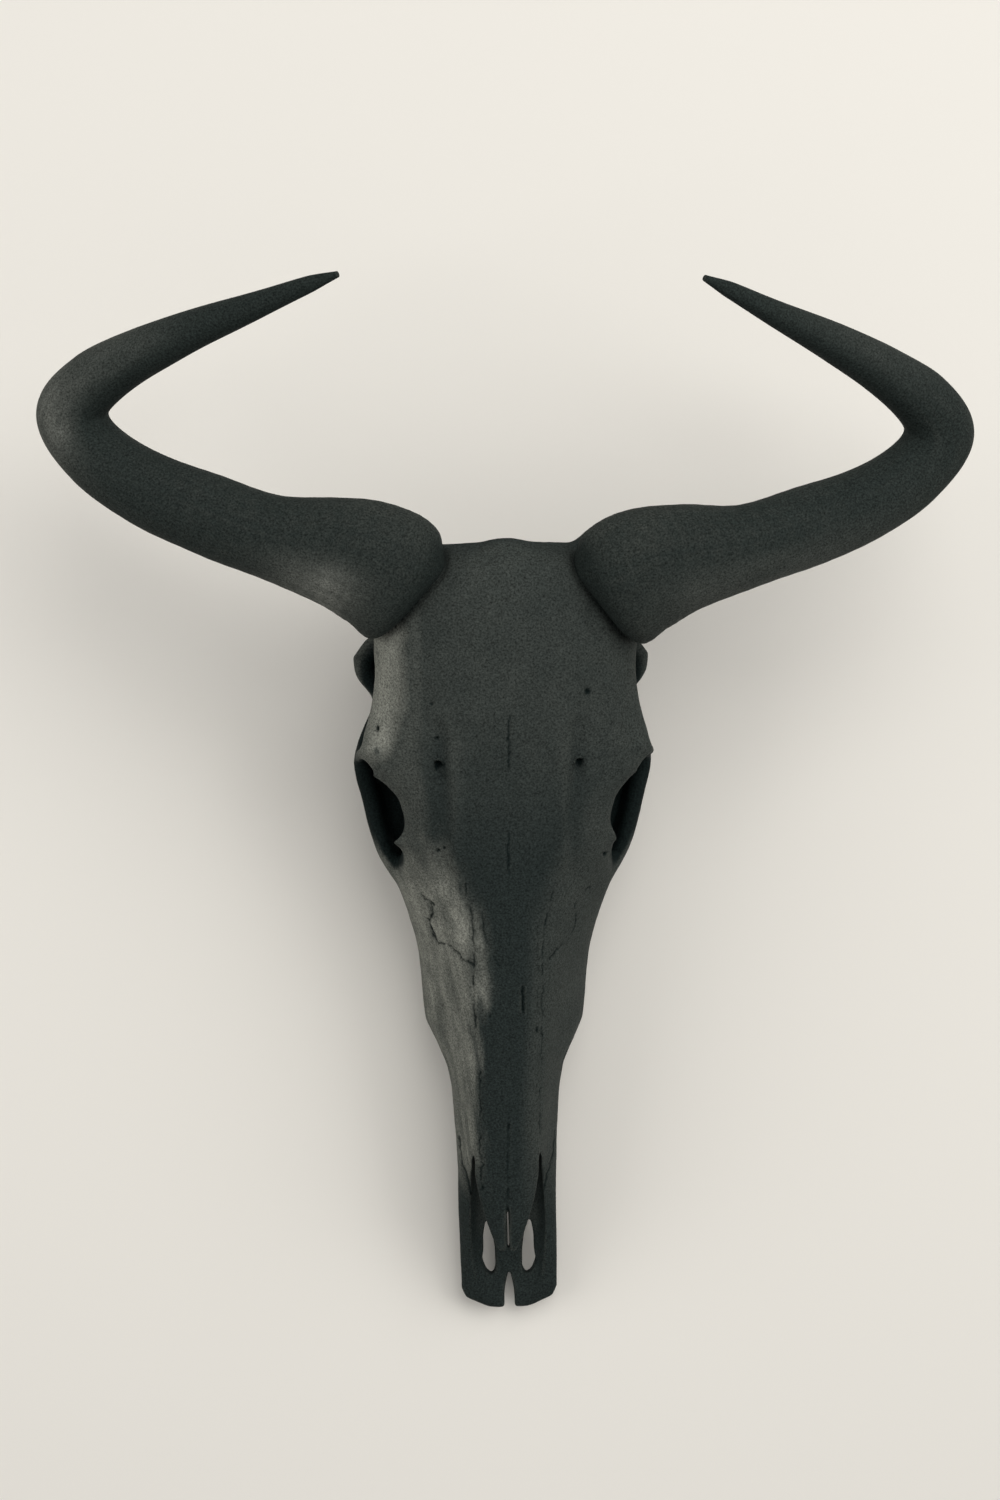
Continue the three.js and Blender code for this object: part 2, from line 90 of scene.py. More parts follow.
class Side(Enum):
    """The two sides of the animal, as the sign of X."""

    LEFT = 1
    RIGHT = -1


class Slot(Enum):
    """The record's material slots."""

    BONE = "painted_bone"
    HORN = "painted_horn"


class Layer(Enum):
    """Values kept at each point of a mesh for its paint."""

    WEAR = "wear"
    # painted shade in creases, hollows, eye sockets, sutures and holes
    PAINTED_SHADE = "painted_shade"
    # dust, and painted light on the slopes that face the light
    DUST_AND_LIGHT = "dust_and_light"
    ALONG = "along"
    AROUND = "around"


def smoothstep(values: Array, low: float, high: float) -> Array:
    """Ease from 0 at low to 1 at high.

    Args:
        values: Numbers to ease.
        low: Where the result is 0.
        high: Where the result is 1.

    Returns:
        The eased numbers.
    """
    share = np.clip((values - low) / (high - low), 0.0, 1.0)
    return share * share * (3.0 - 2.0 * share)


def bell(values: Array, width: float) -> Array:
    """A bump of height 1 at zero that falls off over width."""
    return np.exp(-((values / width) ** 2))


@dataclass(frozen=True)
class Band:
    """A stretch of an axis with soft ends."""

    rise: tuple[float, float]
    fall: tuple[float, float]

    def share(self, values: Array) -> Array:
        """Ease from 0 to 1 over the rise, and back to 0 over the fall."""
        return smoothstep(values, *self.rise) * (1 - smoothstep(values, *self.fall))


def lattice(cells: Array, seed: int) -> Array:
    """Repeatable random numbers from -1 to 1, one for each whole cell.

    Args:
        cells: Whole cell numbers, one row of three for each point.
        seed: Chooses another set of numbers.

    Returns:
        One number for each row.
    """
    mask = 0xFFFFFFFF
    x, y, z = (cells[:, k].astype(np.int64) & mask for k in range(3))
    mixed = (x * 374761393 + y * 668265263 + z * 362437 + seed * 974711) & mask
    mixed = ((mixed ^ (mixed >> 13)) * 1274126177) & mask
    mixed = ((mixed ^ (mixed >> 15)) * 2246822519) & mask
    return ((mixed ^ (mixed >> 16)) & mask) / (mask / 2.0) - 1.0


def noise(points: Array, size: float | Row, seed: int = 0) -> Array:
    """Smooth noise from -1 to 1.

    Args:
        points: Places in millimetres.
        size: Size of one lump in millimetres, along all axes or along each.
        seed: Chooses another pattern.

    Returns:
        One number for each point.
    """
    cell = points / np.asarray(size, dtype=float)
    base = np.floor(cell)
    share = cell - base
    share = share * share * (3.0 - 2.0 * share)
    total = np.zeros(len(points))
    for corner in product((0, 1), repeat=3):
        weight = np.prod(np.where(corner, share, 1.0 - share), axis=1)
        total += weight * lattice(base + corner, seed)
    return total


def rough_noise(points: Array, size: float | Row, octaves: int, seed: int = 0) -> Array:
    """Noise with finer lumps added on coarser ones.

    Args:
        points: Places in millimetres.
        size: Size of the coarsest lump.
        octaves: How many sizes are added, each half the last.
        seed: Chooses another pattern.

    Returns:
        One number for each point, mostly from -1 to 1.
    """
    scale = np.asarray(size, dtype=float)
    total = sum(noise(points, scale / 2**k, seed + k) / 2**k for k in range(octaves))
    return total / sum(1.0 / 2**k for k in range(octaves))


def curve_through(rows: Array, shares: Array, power: float) -> Array:
    """Points of a smooth curve through rows.

    Args:
        rows: The rows that the curve passes through.
        shares: Places along the curve, from 0 to 1, even over the rows.
        power: 0.5 spaces the knots by distance, as for a path, and 0 spaces them evenly.

    Returns:
        One row for each share.
    """
    padded = np.vstack([2 * rows[0] - rows[1], rows, 2 * rows[-1] - rows[-2]])
    spans = np.linalg.norm(np.diff(padded, axis=0), axis=1) ** power
    place = np.clip(shares, 0.0, 1.0) * (len(rows) - 1)
    index = np.minimum(place.astype(int), len(rows) - 2)
    u = (place - index)[:, None]
    p0, p1, p2, p3 = (padded[index + k] for k in range(4))
    d0, d1, d2 = (spans[index + k][:, None] for k in range(3))
    start = d1 * ((p1 - p0) / d0 - (p2 - p0) / (d0 + d1) + (p2 - p1) / d1)
    end = d1 * ((p2 - p1) / d1 - (p3 - p1) / (d1 + d2) + (p3 - p2) / d2)
    return (
        p1
        + start * u
        + (3 * (p2 - p1) - 2 * start - end) * u**2
        + (2 * (p1 - p2) + start + end) * u**3
    )


@dataclass(frozen=True)
class HeadFrame:
    """Where the head lies in the row frame: X from its midline, Y from its muzzle tip, in millimetres."""

    midline_x: float
    muzzle_y: float

    @classmethod
    def from_nodes(cls) -> "HeadFrame":
        """Read the head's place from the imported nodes.

        Returns:
            The head's frame.
        """
        low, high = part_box("cranium")
        tip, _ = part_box("premaxilla_left")
        return cls((low.x + high.x) / 2 / MM, tip.y / MM)

    def to_head(self, points: Array) -> Array:
        """Points of the row frame in the head's frame."""
        return points - np.array([self.midline_x, self.muzzle_y, 0.0])

    def to_row(self, points: Array) -> Array:
        """Points of the head's frame in the row frame."""
        return points + np.array([self.midline_x, self.muzzle_y, 0.0])


class Surface:
    """The points of one mesh in millimetres, with the moves that shape them."""

    def __init__(self, obj: bpy.types.Object) -> None:
        """Read the points and edges of an object's mesh.

        Args:
            obj: The object whose mesh is shaped.
        """
        self.obj = obj
        mesh = obj.data
        self.count = len(mesh.vertices)
        self.points = np.empty(self.count * 3)
        mesh.vertices.foreach_get("co", self.points)
        self.points = self.points.reshape(-1, 3) / MM
        edges = np.empty(len(mesh.edges) * 2, dtype=np.int32)
        mesh.edges.foreach_get("vertices", edges)
        self.edges = edges.reshape(-1, 2)
        self.degree = np.maximum(np.bincount(edges, minlength=self.count), 1)

    def write(self) -> None:
        """Put the points back into the mesh."""
        self.obj.data.vertices.foreach_set("co", (self.points * MM).ravel())
        self.obj.data.update()

    def normals(self) -> Array:
        """Normals of the surface as it now stands.

        Returns:
            One unit row for each point.
        """
        self.write()
        found = np.empty(self.count * 3)
        self.obj.data.vertex_normals.foreach_get("vector", found)
        return found.reshape(-1, 3)

    def neighbour_mean(self, values: Array) -> Array:
        """Mean of a value over each point's neighbours.

        Args:
            values: One number or one row for each point.

        Returns:
            The means, in the same form.
        """
        a, b = self.edges.T
        columns = values.reshape(self.count, -1).T
        sums = [
            np.bincount(a, column[b], self.count) + np.bincount(b, column[a], self.count)
            for column in columns
        ]
        return (np.stack(sums, axis=1) / self.degree[:, None]).reshape(values.shape)

    def relax(self, passes: int, share: float | Array) -> None:
        """Smooth the surface.

        Args:
            passes: How often each point moves towards its neighbours' mean.
            share: How far it moves each time, for all points or for each.
        """
        step = np.broadcast_to(np.asarray(share, dtype=float), (self.count,))[:, None]
        for _ in range(passes):
            self.points += step * (self.neighbour_mean(self.points) - self.points)

    def spread(self, values: Array, passes: int) -> Array:
        """Blur a value over the surface.

        Args:
            values: One number or one row for each point.
            passes: How far it spreads.

        Returns:
            The blurred values, in the same form.
        """
        for _ in range(passes):
            values = 0.5 * values + 0.5 * self.neighbour_mean(values)
        return values

    def push(self, amount: Array) -> None:
        """Move each point along its normal.

        Args:
            amount: Distance outwards in millimetres, for each point.
        """
        self.points += self.normals() * amount[:, None]

    def relief(self, passes: int) -> Array:
        """How far each point stands out of its smoothed surroundings, in millimetres.

        Args:
            passes: How wide the surroundings are.

        Returns:
            One number for each point, above 0 on edges and below 0 in hollows.
        """
        smooth = self.spread(self.points, passes)
        return np.einsum("ij,ij->i", self.points - smooth, self.normals())

    def store(self, layer: Layer, values: Array) -> None:
        """Keep a value at each point for the paint.

        Args:
            layer: The value's name.
            values: One number for each point.
        """
        attribute = self.obj.data.attributes.new(layer.value, "FLOAT", "POINT")
        attribute.data.foreach_set("value", values.astype(np.float32))

    def store_paint_layers(
        self, dust_and_light: Array, shade: Array | float = 0.0, cracks: Array | float = 0.0
    ) -> None:
        """Keep where paint is rubbed, where painted shade darkens hollows, and where dust and painted light
        lie.

        Args:
            dust_and_light: How much dust and painted light pale each point, from 0 to 1.
            shade: How deep each point lies in a large hollow, as painted shade from 0 to 1.
            cracks: How dark each point is in a suture or a hole, as painted shade from 0 to 1.
        """
        fine = self.relief(FINE_PASSES)
        broad = self.relief(BROAD_PASSES)
        wear = smoothstep(fine, 0.04, 0.22) * 0.6 + smoothstep(broad, 0.35, 1.6) * 0.6
        # painted shade: darker in creases and hollows, from the relief, with the painted shade of sockets,
        # sutures and holes added
        painted_shade = smoothstep(-fine, 0.05, 0.3) * 0.9 + smoothstep(-broad, 0.4, 2.0) * 0.4
        painted_shade += shade + cracks
        self.store(Layer.WEAR, self.spread(np.clip(wear, 0, 1) * (1 - shade), 1))
        self.store(Layer.PAINTED_SHADE, self.spread(np.clip(painted_shade, 0, 1), 1))
        self.store(Layer.DUST_AND_LIGHT, np.clip(dust_and_light, 0, 1))


@dataclass(frozen=True)
class Furrow:
    """A groove along a line on the skull, seen from above, or a ridge where its depth is negative."""

    path: Plan
    width: float
    depth: float
    wander: float = 0.0
    breaks: float = 0.3
    least_lift: float = 0.08

    def amount(self, points: Array, lift: Array) -> Array:
        """How far the line moves each point.

        Args:
            points: Points in the head's frame.
            lift: The Z of each point's normal.

        Returns:
            Distance outwards for each point, in millimetres.
        """
        result = np.zeros(len(points))
        path = np.asarray(self.path, dtype=float)
        reach = 4 * self.width + 2 * self.wander
        inside = np.all(points[:, :2] > path.min(0) - reach, axis=1)
        inside &= np.all(points[:, :2] < path.max(0) + reach, axis=1)
        inside &= lift > self.least_lift
        near = points[inside]
        plan = near[:, :2].copy()
        for axis in (0, 1):
            plan[:, axis] += self.wander * rough_noise(near, 7.0, 2, seed=31 + axis)
            plan[:, axis] += self.wander * noise(near, 2.6, seed=35 + axis)
        distance = np.full(len(plan), np.inf)
        for a, b in zip(path[:-1], path[1:]):
            along = np.clip(((plan - a) @ (b - a)) / ((b - a) @ (b - a)), 0.0, 1.0)
            distance = np.minimum(distance, np.linalg.norm(plan - a - along[:, None] * (b - a), axis=1))
        strength = 1.0 - self.breaks * smoothstep(noise(near, 6.5, seed=57), -0.25, 0.35)
        result[inside] = -self.depth * strength * bell(distance, self.width)
        return result


@dataclass(frozen=True)
class Pit:
    """A small hole in the skull, seen from above."""

    x: float
    y: float
    radius: float
    depth: float
    stretch: float = 1.0
    least_lift: float = 0.1

    def amount(self, points: Array, lift: Array) -> Array:
        """How far the hole moves each point.

        Args:
            points: Points in the head's frame.
            lift: The Z of each point's normal.

        Returns:
            Distance outwards for each point, in millimetres.
        """
        across = np.hypot(points[:, 0] - self.x, (points[:, 1] - self.y) / self.stretch)
        return np.where(lift > self.least_lift, -self.depth * bell(across, self.radius), 0.0)


def mirrored(lines: tuple[Furrow, ...]) -> tuple[Furrow, ...]:
    """The same furrows on the other side of the midline."""
    return tuple(replace(line, path=tuple((-x, y) for x, y in line.path)) for line in lines)


@dataclass(frozen=True)
class BoneDustAndPaintedLight:
    """Dust on the bone, and painted light and shade: paler slopes that face the light, a paler brow ridge,
    a darker brow valley and a paler nose floor. Places are in the head's frame.
    """

    cloud_size: float = 20.0
    streak_size: Row = (6.0, 44.0, 6.0)
    veil: float = 0.1
    veil_clouds: float = 0.3
    forehead_start: tuple[float, float] = (285, 405)
    forehead_lift: tuple[float, float] = (0.3, 0.8)
    left_start: tuple[float, float] = (60, 120)
    left_slope: tuple[float, float] = (0.15, 0.5)
    right_slope: tuple[float, float] = (0.08, 0.42)
    brow_band: Band = Band((295, 315), (368, 388))
    brow_ridge: Row = (33.5, 4.5, 0.8)
    brow_valley: Row = (42, 6.0, 0.6)
    strip_border: Plan = ((352, -72), (378, -63), (398, -60), (420, -59), (452, -56))
    strip_fray: float = 4.0
    strip_edge: tuple[float, float] = (-4, 13)
    strip_middle: tuple[float, float] = (15, 28)
    strip_fade: float = 0.5
    strip_start: tuple[float, float] = (346, 386)
    strip_start_fray: float = 8.0
    strip_end: tuple[float, float] = (438, 454)
    strip_height: tuple[float, float] = (106, 122)
    face_border: Plan = (
        (90, -20), (124, -18), (171, -18), (199, -19), (226, -12), (250, -13), (284, -25), (300, -30)
    )
    face_fray: float = 9.0
    face_edge: tuple[float, float] = (-0.9, 1.8)
    face_edge_width: float = 6.0
    face_edge_growth: float = 5.0
    face_widening: tuple[float, float] = (230, 280)
    face_start: tuple[float, float] = (76, 112)
    face_end: tuple[float, float] = (262, 336)
    face_end_fray: float = 26.0
    face_height: tuple[float, float] = (15, 60)
    face_tone: Plan = ((90, 0.52), (230, 0.58), (258, 0.78), (300, 0.95))
    face_clouds: float = 0.55
    face_streaks: float = 0.5
    pale_streaks: float = 0.3
    side_painted_light: float = 0.2
    side_x: tuple[float, float] = (44, 56)
    side_start: tuple[float, float] = (290, 310)
    nose_band: Band = Band((48, 62), (100, 125))
    nose_height: tuple[float, float] = (60, 74)
    nose_width: tuple[float, float] = (18, 23)
    nose_painted_light: float = 0.07

    def nose_floor(self, points: Array) -> Array:
        """How deep each point lies inside the nose, where painted light lifts the shade.

        Args:
            points: Points in the head's frame.

        Returns:
            One number for each point, from 0 to 1.
        """
        x, y, z = np.abs(points[:, 0]), points[:, 1], points[:, 2]
        deep = self.nose_band.share(y) * (1 - smoothstep(z, *self.nose_height))
        return deep * (1 - smoothstep(x, *self.nose_width))

    def brow_painted_shading(self, points: Array) -> Array:
        """How much paler the ridge beside each brow valley is with painted light, and how much darker the
        valley is with painted shade.

        Args:
            points: Points in the head's frame.

        Returns:
            One number for each point, above 0 on the ridge and below 0 in the valley.
        """
        x, y = np.abs(points[:, 0]), points[:, 1]
        ridge_x, ridge_width, paler = self.brow_ridge
        valley_x, valley_width, darker = self.brow_valley
        window = self.brow_band.share(y) * (0.6 + 0.4 * smoothstep(-points[:, 0], -5, 5))
        return window * (paler * bell(x - ridge_x, ridge_width) - darker * bell(x - valley_x, valley_width))

    def painted_light_strip(self, points: Array, right: Array, cloud: Array) -> Array:
        """The pale strip of painted light beside the right brow, where the slope faces the light.

        Args:
            points: Points in the head's frame.
            right: How far each point looks to the right.
            cloud: Noise that frays the strip's edge.

        Returns:
            One number for each point, from 0 to 1.
        """
        x, y, z = points.T
        inside = np.interp(y, *np.transpose(self.strip_border)) - x + self.strip_fray * cloud
        strip = right * smoothstep(inside, *self.strip_edge)
        strip *= 1 - self.strip_fade * smoothstep(inside, *self.strip_middle)
        strip *= smoothstep(y + self.strip_start_fray * cloud, *self.strip_start)
        strip *= 1 - smoothstep(y, *self.strip_end)
        return strip * smoothstep(z, *self.strip_height)

    def painted_light_face(self, points: Array, right: Array, cloud: Array, streak: Array) -> Array:
        """The right side of the face, made paler with painted light where it faces the light.

        Args:
            points: Points in the head's frame.
            right: How far each point looks to the right.
            cloud: Noise in lumps.
            streak: Noise drawn out along the face.

        Returns:
            One number for each point, mostly from 0 to 1.
        """
        x, y, z = points.T
        inside = np.interp(y, *np.transpose(self.face_border)) - x + self.face_fray * streak
        edge_width = self.face_edge_width + self.face_edge_growth * smoothstep(y, *self.face_widening)
        face = right * smoothstep(inside / edge_width, *self.face_edge) * smoothstep(y, *self.face_start)
        face *= 1 - smoothstep(y + self.face_end_fray * cloud, *self.face_end)
        face *= np.interp(y, *np.transpose(self.face_tone))
        face *= 0.5 + 0.5 * smoothstep(z, *self.face_height)
        return face * (1 + self.face_clouds * cloud + self.face_streaks * streak)

    def amount(self, points: Array, normals: Array, socket: Array) -> Array:
        """Where dust lies, and where painted light makes the slopes that face the light paler.

        A thin pale veil lies on the forehead and on the left slopes. The strip beside the brow and the
        face on the right, which face the light, get the most painted light.

        Args:
            points: Points in the head's frame.
            normals: The normals there.
            socket: How far each point faces the hollow of an eye socket, where painted shade is laid
                instead.

        Returns:
            One number for each point, from 0 to 1.
        """
        x, y = points[:, 0], points[:, 1]
        cloud = rough_noise(points, self.cloud_size, 4, seed=45)
        streak = rough_noise(points, self.streak_size, 5, seed=43)
        right = smoothstep(-normals[:, 0], *self.right_slope)
        forehead = smoothstep(y, *self.forehead_start) * smoothstep(normals[:, 2], *self.forehead_lift)
        left_slope = smoothstep(normals[:, 0], *self.left_slope) * smoothstep(y, *self.left_start)
        veil = np.maximum(forehead, left_slope) * self.veil
        veil *= 1 + self.veil_clouds * cloud + self.brow_painted_shading(points)
        strip = self.painted_light_strip(points, right, cloud)
        face = self.painted_light_face(points, right, cloud, streak)
        # painted light on the right side's slopes that face the light
        side = self.side_painted_light * right * smoothstep(-x, *self.side_x) * smoothstep(y, *self.side_start)
        pale = np.maximum(strip, face) * (1 + self.pale_streaks * streak)
        pale = np.maximum(pale, side * (1 - strip))
        total = np.maximum(veil, pale) * (1 - socket)
        return np.maximum(total, self.nose_painted_light * self.nose_floor(points))


@dataclass
class SkullBone:
    """All bones of the skull as one surface, with their sutures, holes, teeth and texture."""

    name: str = "skull_bone"
    nodes: tuple[str, ...] = (
        "cranium",
        "upper_jaw",
        "premaxilla_left",
        "premaxilla_right",
        "nasal_left",
        "nasal_right",
        "cheekbone_left",
        "cheekbone_right",
    )
    suture_fill: float = 0.2
    cell: float = 0.88
    first_relax: tuple[int, float] = (4, 0.5)
    roof_passes: int = 110
    roof_height: tuple[float, float] = (48, 80)
    roof_lift: float = 18.0
    muzzle_end: tuple[float, float] = (96, 130)
    least_smooth: float = 0.15
    second_relax: tuple[int, float] = (3, 0.4)
    corner_passes: int = 60
    carved_relax: tuple[int, float] = (1, 0.25)
    muzzle_twist: float = 0.0575
    twist_height: float = 40.0
    twist_fade: tuple[float, float] = (60, 250)
    soft_corners: tuple[tuple[Row, float], ...] = (((90, 367, 125), 8.0), ((80, 371, 139), 12.0))
    soft_tip: tuple[float, float] = (4, 16)
    rim_band: Band = Band((296, 306), (362, 372))
    rim_height: tuple[float, float] = (98, 106)
    rim_width: tuple[float, float] = (84, 88)
    rim_stray: float = 4.0
    tear_bone_y: float = 315.5
    tear_bone_size: float = 8.0
    tear_bone_stray: float = 6.5
    socket_core: tuple[float, float] = (76, 102)
    socket_reach: tuple[float, float] = (322, 400)
    socket_size: tuple[float, float] = (48, 62)
    socket_shade: float = 0.75
    arch_band: Band = Band((308, 322), (385, 410))
    arch_height: Band = Band((66, 84), (96, 104))
    arch_inner: tuple[float, float] = (64, 72)
    facing_passes: int = 2
    slope_passes: int = 20
    crack_shade: float = 0.75
    crack_depth: tuple[float, float] = (0.15, 0.7)
    dust_and_light: BoneDustAndPaintedLight = BoneDustAndPaintedLight()
    slit_band: Band = Band((34, 42), (78, 88))
    slit_edge: tuple[float, float] = (1.0, 5.0)
    slit_squeeze: float = 0.42
    slit_inner: float = 0.6
    slits: tuple[tuple[str, float, float, float, float], ...] = (
        ("premaxilla", 40.5, 67.5, 1.4, 0.25),
        ("nasal", 47.0, 80.0, 2.6, 0.15),
    )
    right_sutures: tuple[Furrow, ...] = (
        Furrow(((-55.6, 282), (-47.7, 277), (-46.5, 272.5), (-48.9, 265), (-46.5, 254), (-44, 250.4),
                (-38.7, 249.8), (-32.8, 245.4), (-28, 240), (-22, 238)), 0.75, 0.9, 1.5, 0.4),
        Furrow(((-27.8, 289), (-24.9, 276), (-22.5, 261), (-21.4, 243), (-22.8, 225), (-21.7, 207),
                (-20.2, 180), (-19.3, 150), (-19.6, 118), (-18, 92)), 0.7, 0.75, 1.1, 0.55),
        Furrow(((-17, 271.5), (-15.3, 256), (-11, 245), (-6.9, 237.5)), 0.7, 0.55, 0.6, 0.6),
        Furrow(((-31.5, 122), (-30.3, 106), (-26.5, 95), (-24, 84)), 0.8, 0.9, 0.7),
    )
    left_sutures: tuple[Furrow, ...] = (
        Furrow(((52, 284), (43, 279), (41.2, 270.6), (42.6, 263), (41.8, 256.7), (37, 250.5), (32.6, 249),
                (25, 241)), 0.75, 0.6, 1.3, 0.8),
        Furrow(((28, 289), (24.6, 276), (22, 261), (20.6, 243), (21.4, 225), (20.7, 207), (19.6, 180),
                (18.8, 150), (19.4, 118), (17.6, 92)), 0.7, 0.6, 0.9, 0.6),
        Furrow(((17.4, 262), (17.6, 240), (17.3, 200)), 0.7, 0.4, 0.8, 0.8),
        Furrow(((31, 124), (29.6, 108), (25.5, 97), (23, 86)), 0.8, 0.8, 0.7),
        Furrow(((7.9, 224), (7.5, 216), (7.9, 208)), 0.75, 1.9, 0.5, 0.5),
    )
    midline: tuple[Furrow, ...] = (
        Furrow(((-0.6, 392), (-0.8, 322), (-0.6, 282)), 0.7, 0.7, 0.8, 0.8),
        Furrow(((-0.3, 284), (-0.8, 200), (-1.9, 130)), 0.7, 0.32, 0.6, 0.9),
        Furrow(((-1.6, 136), (-2.1, 100), (-2.7, 60)), 0.7, 0.8, 0.5, 0.5),
    )
    brow_lines: tuple[Furrow, ...] = (
        Furrow(((-42.6, 384), (-41.6, 348), (-40, 292)), 5.5, 2.0, 0.4, 0.1),
        Furrow(((-36.5, 392), (-33.6, 350), (-33.2, 300)), 3.6, -1.5, 0.4, 0.1),
        Furrow(((-58, 446), (-61, 420), (-62, 398), (-65, 378), (-72, 360)), 4.5, -1.3, 0.4, 0.1),
    )
    holes: tuple[Pit, ...] = (
        Pit(-43.7, 378, 1.0, 1.6),
        Pit(-46.6, 398.8, 0.9, 1.2),
        Pit(-79.2, 385.3, 1.0, 1.6, 1.8),
        Pit(-43.9, 309.5, 1.0, 1.4),
        Pit(-40.3, 310.8, 0.9, 1.1),
        Pit(47.5, 405, 2.0, 1.4),
        Pit(61, 305, 1.3, 1.8),
        Pit(17.0, 196, 1.2, 0.9, 2.0),
        Pit(-12.6, 206, 0.9, 0.7, 1.5),
    )
    crescent_depth: float = 1.3
    horn_crack_depth: float = 2.0
    horn_crack_width: float = 2.6
    horn_crack_reach: float = 8.0
    tooth_rows: tuple[tuple[float, float, float, float], ...] = (
        (33.8, 183.7, 9.0, 10.0),
        (34.3, 194.2, 11.5, 12.5),
        (34.9, 207.1, 13.5, 14.5),
        (35.7, 222.6, 17.0, 17.0),
        (36.7, 241.7, 20.5, 18.0),
        (37.8, 262.8, 21.0, 17.0),
    )

    def slit_shift(self, name: str, place: Array) -> float:
        """How far a point moves out to keep the slit between the two halves of the muzzle open.

        Args:
            name: The node that the point belongs to.
            place: The point in the head's frame.

        Returns:
            Distance along X, in millimetres.
        """
        for part, start, end, reach, shift in self.slits:
            beside = self.slit_inner < abs(place[0]) < reach
            if name.startswith(part) and start < place[1] < end and beside:
                return math.copysign(shift, place[0])
        return 0.0

    def closed_copy(self, nodes: dict[str, bpy.types.Object], head: HeadFrame) -> bpy.types.Object:
        """Copy the nodes' meshes into one object, each swollen until the sutures close.

        Args:
            nodes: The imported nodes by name.
            head: The head's place.

        Returns:
            The new object.
        """
        whole = bmesh.new()
        for name in self.nodes:
            part = bmesh.new()
            part.from_mesh(nodes[name].data)
            bmesh.ops.remove_doubles(part, verts=part.verts, dist=MM * 0.002)
            part.normal_update()
            moved = [vertex.co + vertex.normal * self.suture_fill * MM for vertex in part.verts]
            for vertex, place in zip(part.verts, moved):
                shift = self.slit_shift(name, head.to_head(np.array(vertex.co) / MM))
                vertex.co = place
                vertex.co.x += shift * MM
            mesh = bpy.data.meshes.new("part")
            part.to_mesh(mesh)
            part.free()
            whole.from_mesh(mesh)
            bpy.data.meshes.remove(mesh)
        mesh = bpy.data.meshes.new(self.name)
        whole.to_mesh(mesh)
        whole.free()
        obj = bpy.data.objects.new(self.name, mesh)
        bpy.context.scene.collection.objects.link(obj)
        return obj

    def remesh(self, obj: bpy.types.Object) -> None:
        """Replace an object's mesh by an even fine one, and keep its outer shell.

        Args:
            obj: The object with the joined copies.
        """
        modifier = obj.modifiers.new("even_cells", "REMESH")
        modifier.mode = "VOXEL"
        modifier.voxel_size = self.cell * MM
        modifier.use_smooth_shade = True
        graph = bpy.context.evaluated_depsgraph_get()
        fine = bpy.data.meshes.new_from_object(obj.evaluated_get(graph))
        obj.modifiers.remove(modifier)
        coarse = obj.data
        obj.data = fine
        bpy.data.meshes.remove(coarse)
        keep_largest_shell(obj)

    def smooth_shares(self, surface: Surface, points: Array, lift: Array) -> Array:
        """How strongly each point is smoothed: rims, teeth and thin walls keep their shape.

        Args:
            surface: The surface to smooth.
            points: Its points in the head's frame.
            lift: The Z of each point's normal.

        Returns:
            One share for each point, up to 0.5.
        """
        roof = smoothstep(points[:, 2] + self.roof_lift * lift, *self.roof_height)
        behind_muzzle = smoothstep(points[:, 1], *self.muzzle_end)
        rim = smoothstep(np.abs(surface.relief(36)), 0.3, 0.85)
        share = self.least_smooth + (1 - self.least_smooth) * roof * behind_muzzle
        share *= 1 - 0.95 * rim
        return 0.5 * surface.spread(share, 4)

    def corners(self, points: Array) -> Array:
        """Where the tip of the muzzle and the corners behind the eyes are rounded off.

        Args:
            points: Points in the head's frame.

        Returns:
            One share for each point, up to 0.5.
        """
        share = 1 - smoothstep(points[:, 1], *self.soft_tip)
        one_side = np.stack([np.abs(points[:, 0]), points[:, 1], points[:, 2]], axis=1)
        for corner, width in self.soft_corners:
            away = np.linalg.norm(one_side - np.asarray(corner), axis=1)
            share = np.maximum(share, bell(away, width))
        return 0.5 * share

    def twist(self, points: Array) -> Array:
        """How far the twisted muzzle carries each point sideways.

        Args:
            points: Points in the head's frame.

        Returns:
            Distance along X for each point, in millimetres.
        """
        share = 1 - smoothstep(points[:, 1], *self.twist_fade)
        return -self.muzzle_twist * share * (points[:, 2] - self.twist_height)

    def narrowed_slit(self, points: Array) -> Array:
        """How far the sides of the muzzle's midline slit draw together.

        Args:
            points: Points in the head's frame.

        Returns:
            Distance along X for each point, in millimetres.
        """
        x, y = points[:, 0], points[:, 1]
        beside = 1 - smoothstep(np.abs(x), *self.slit_edge)
        return -self.slit_squeeze * x * self.slit_band.share(y) * beside

    def ragged_rim(self, surface: Surface, points: Array) -> Array:
        """How far the broken edges of the eye sockets stray sideways.

        Args:
            surface: The smoothed surface.
            points: Its points in the head's frame.

        Returns:
            Distance along X for each point, in millimetres.
        """
        x, y, z = np.abs(points[:, 0]), points[:, 1], points[:, 2]
        edge = surface.spread(smoothstep(np.abs(surface.relief(30)), 0.1, 0.35), 4)
        window = self.rim_band.share(y) * smoothstep(z, *self.rim_height)
        window *= 1 - smoothstep(x, *self.rim_width)
        stray = self.rim_stray * rough_noise(points, 8.0, 3, seed=83)
        stray += self.tear_bone_stray * bell(y - self.tear_bone_y, self.tear_bone_size)
        return np.sign(points[:, 0]) * edge * window * stray

    def texture(self, points: Array, lift: Array) -> Array:
        """Unevenness, fibre and pores of old bone.

        Args:
            points: Points in the head's frame.
            lift: The Z of each point's normal.

        Returns:
            Distance outwards for each point, in millimetres.
        """
        swell = 0.5 * rough_noise(points, 34.0, 3, seed=3)
        fibre = 0.09 * noise(points, (2.6, 26.0, 2.6), seed=11)
        grit = 0.05 * noise(points, 2.2, seed=13)
        porous = 0.8 * smoothstep(-lift, -0.1, 0.6)
        pores = -0.5 * porous * smoothstep(noise(points, 3.1, seed=23), 0.45, 0.8)
        return swell + fibre + grit + pores

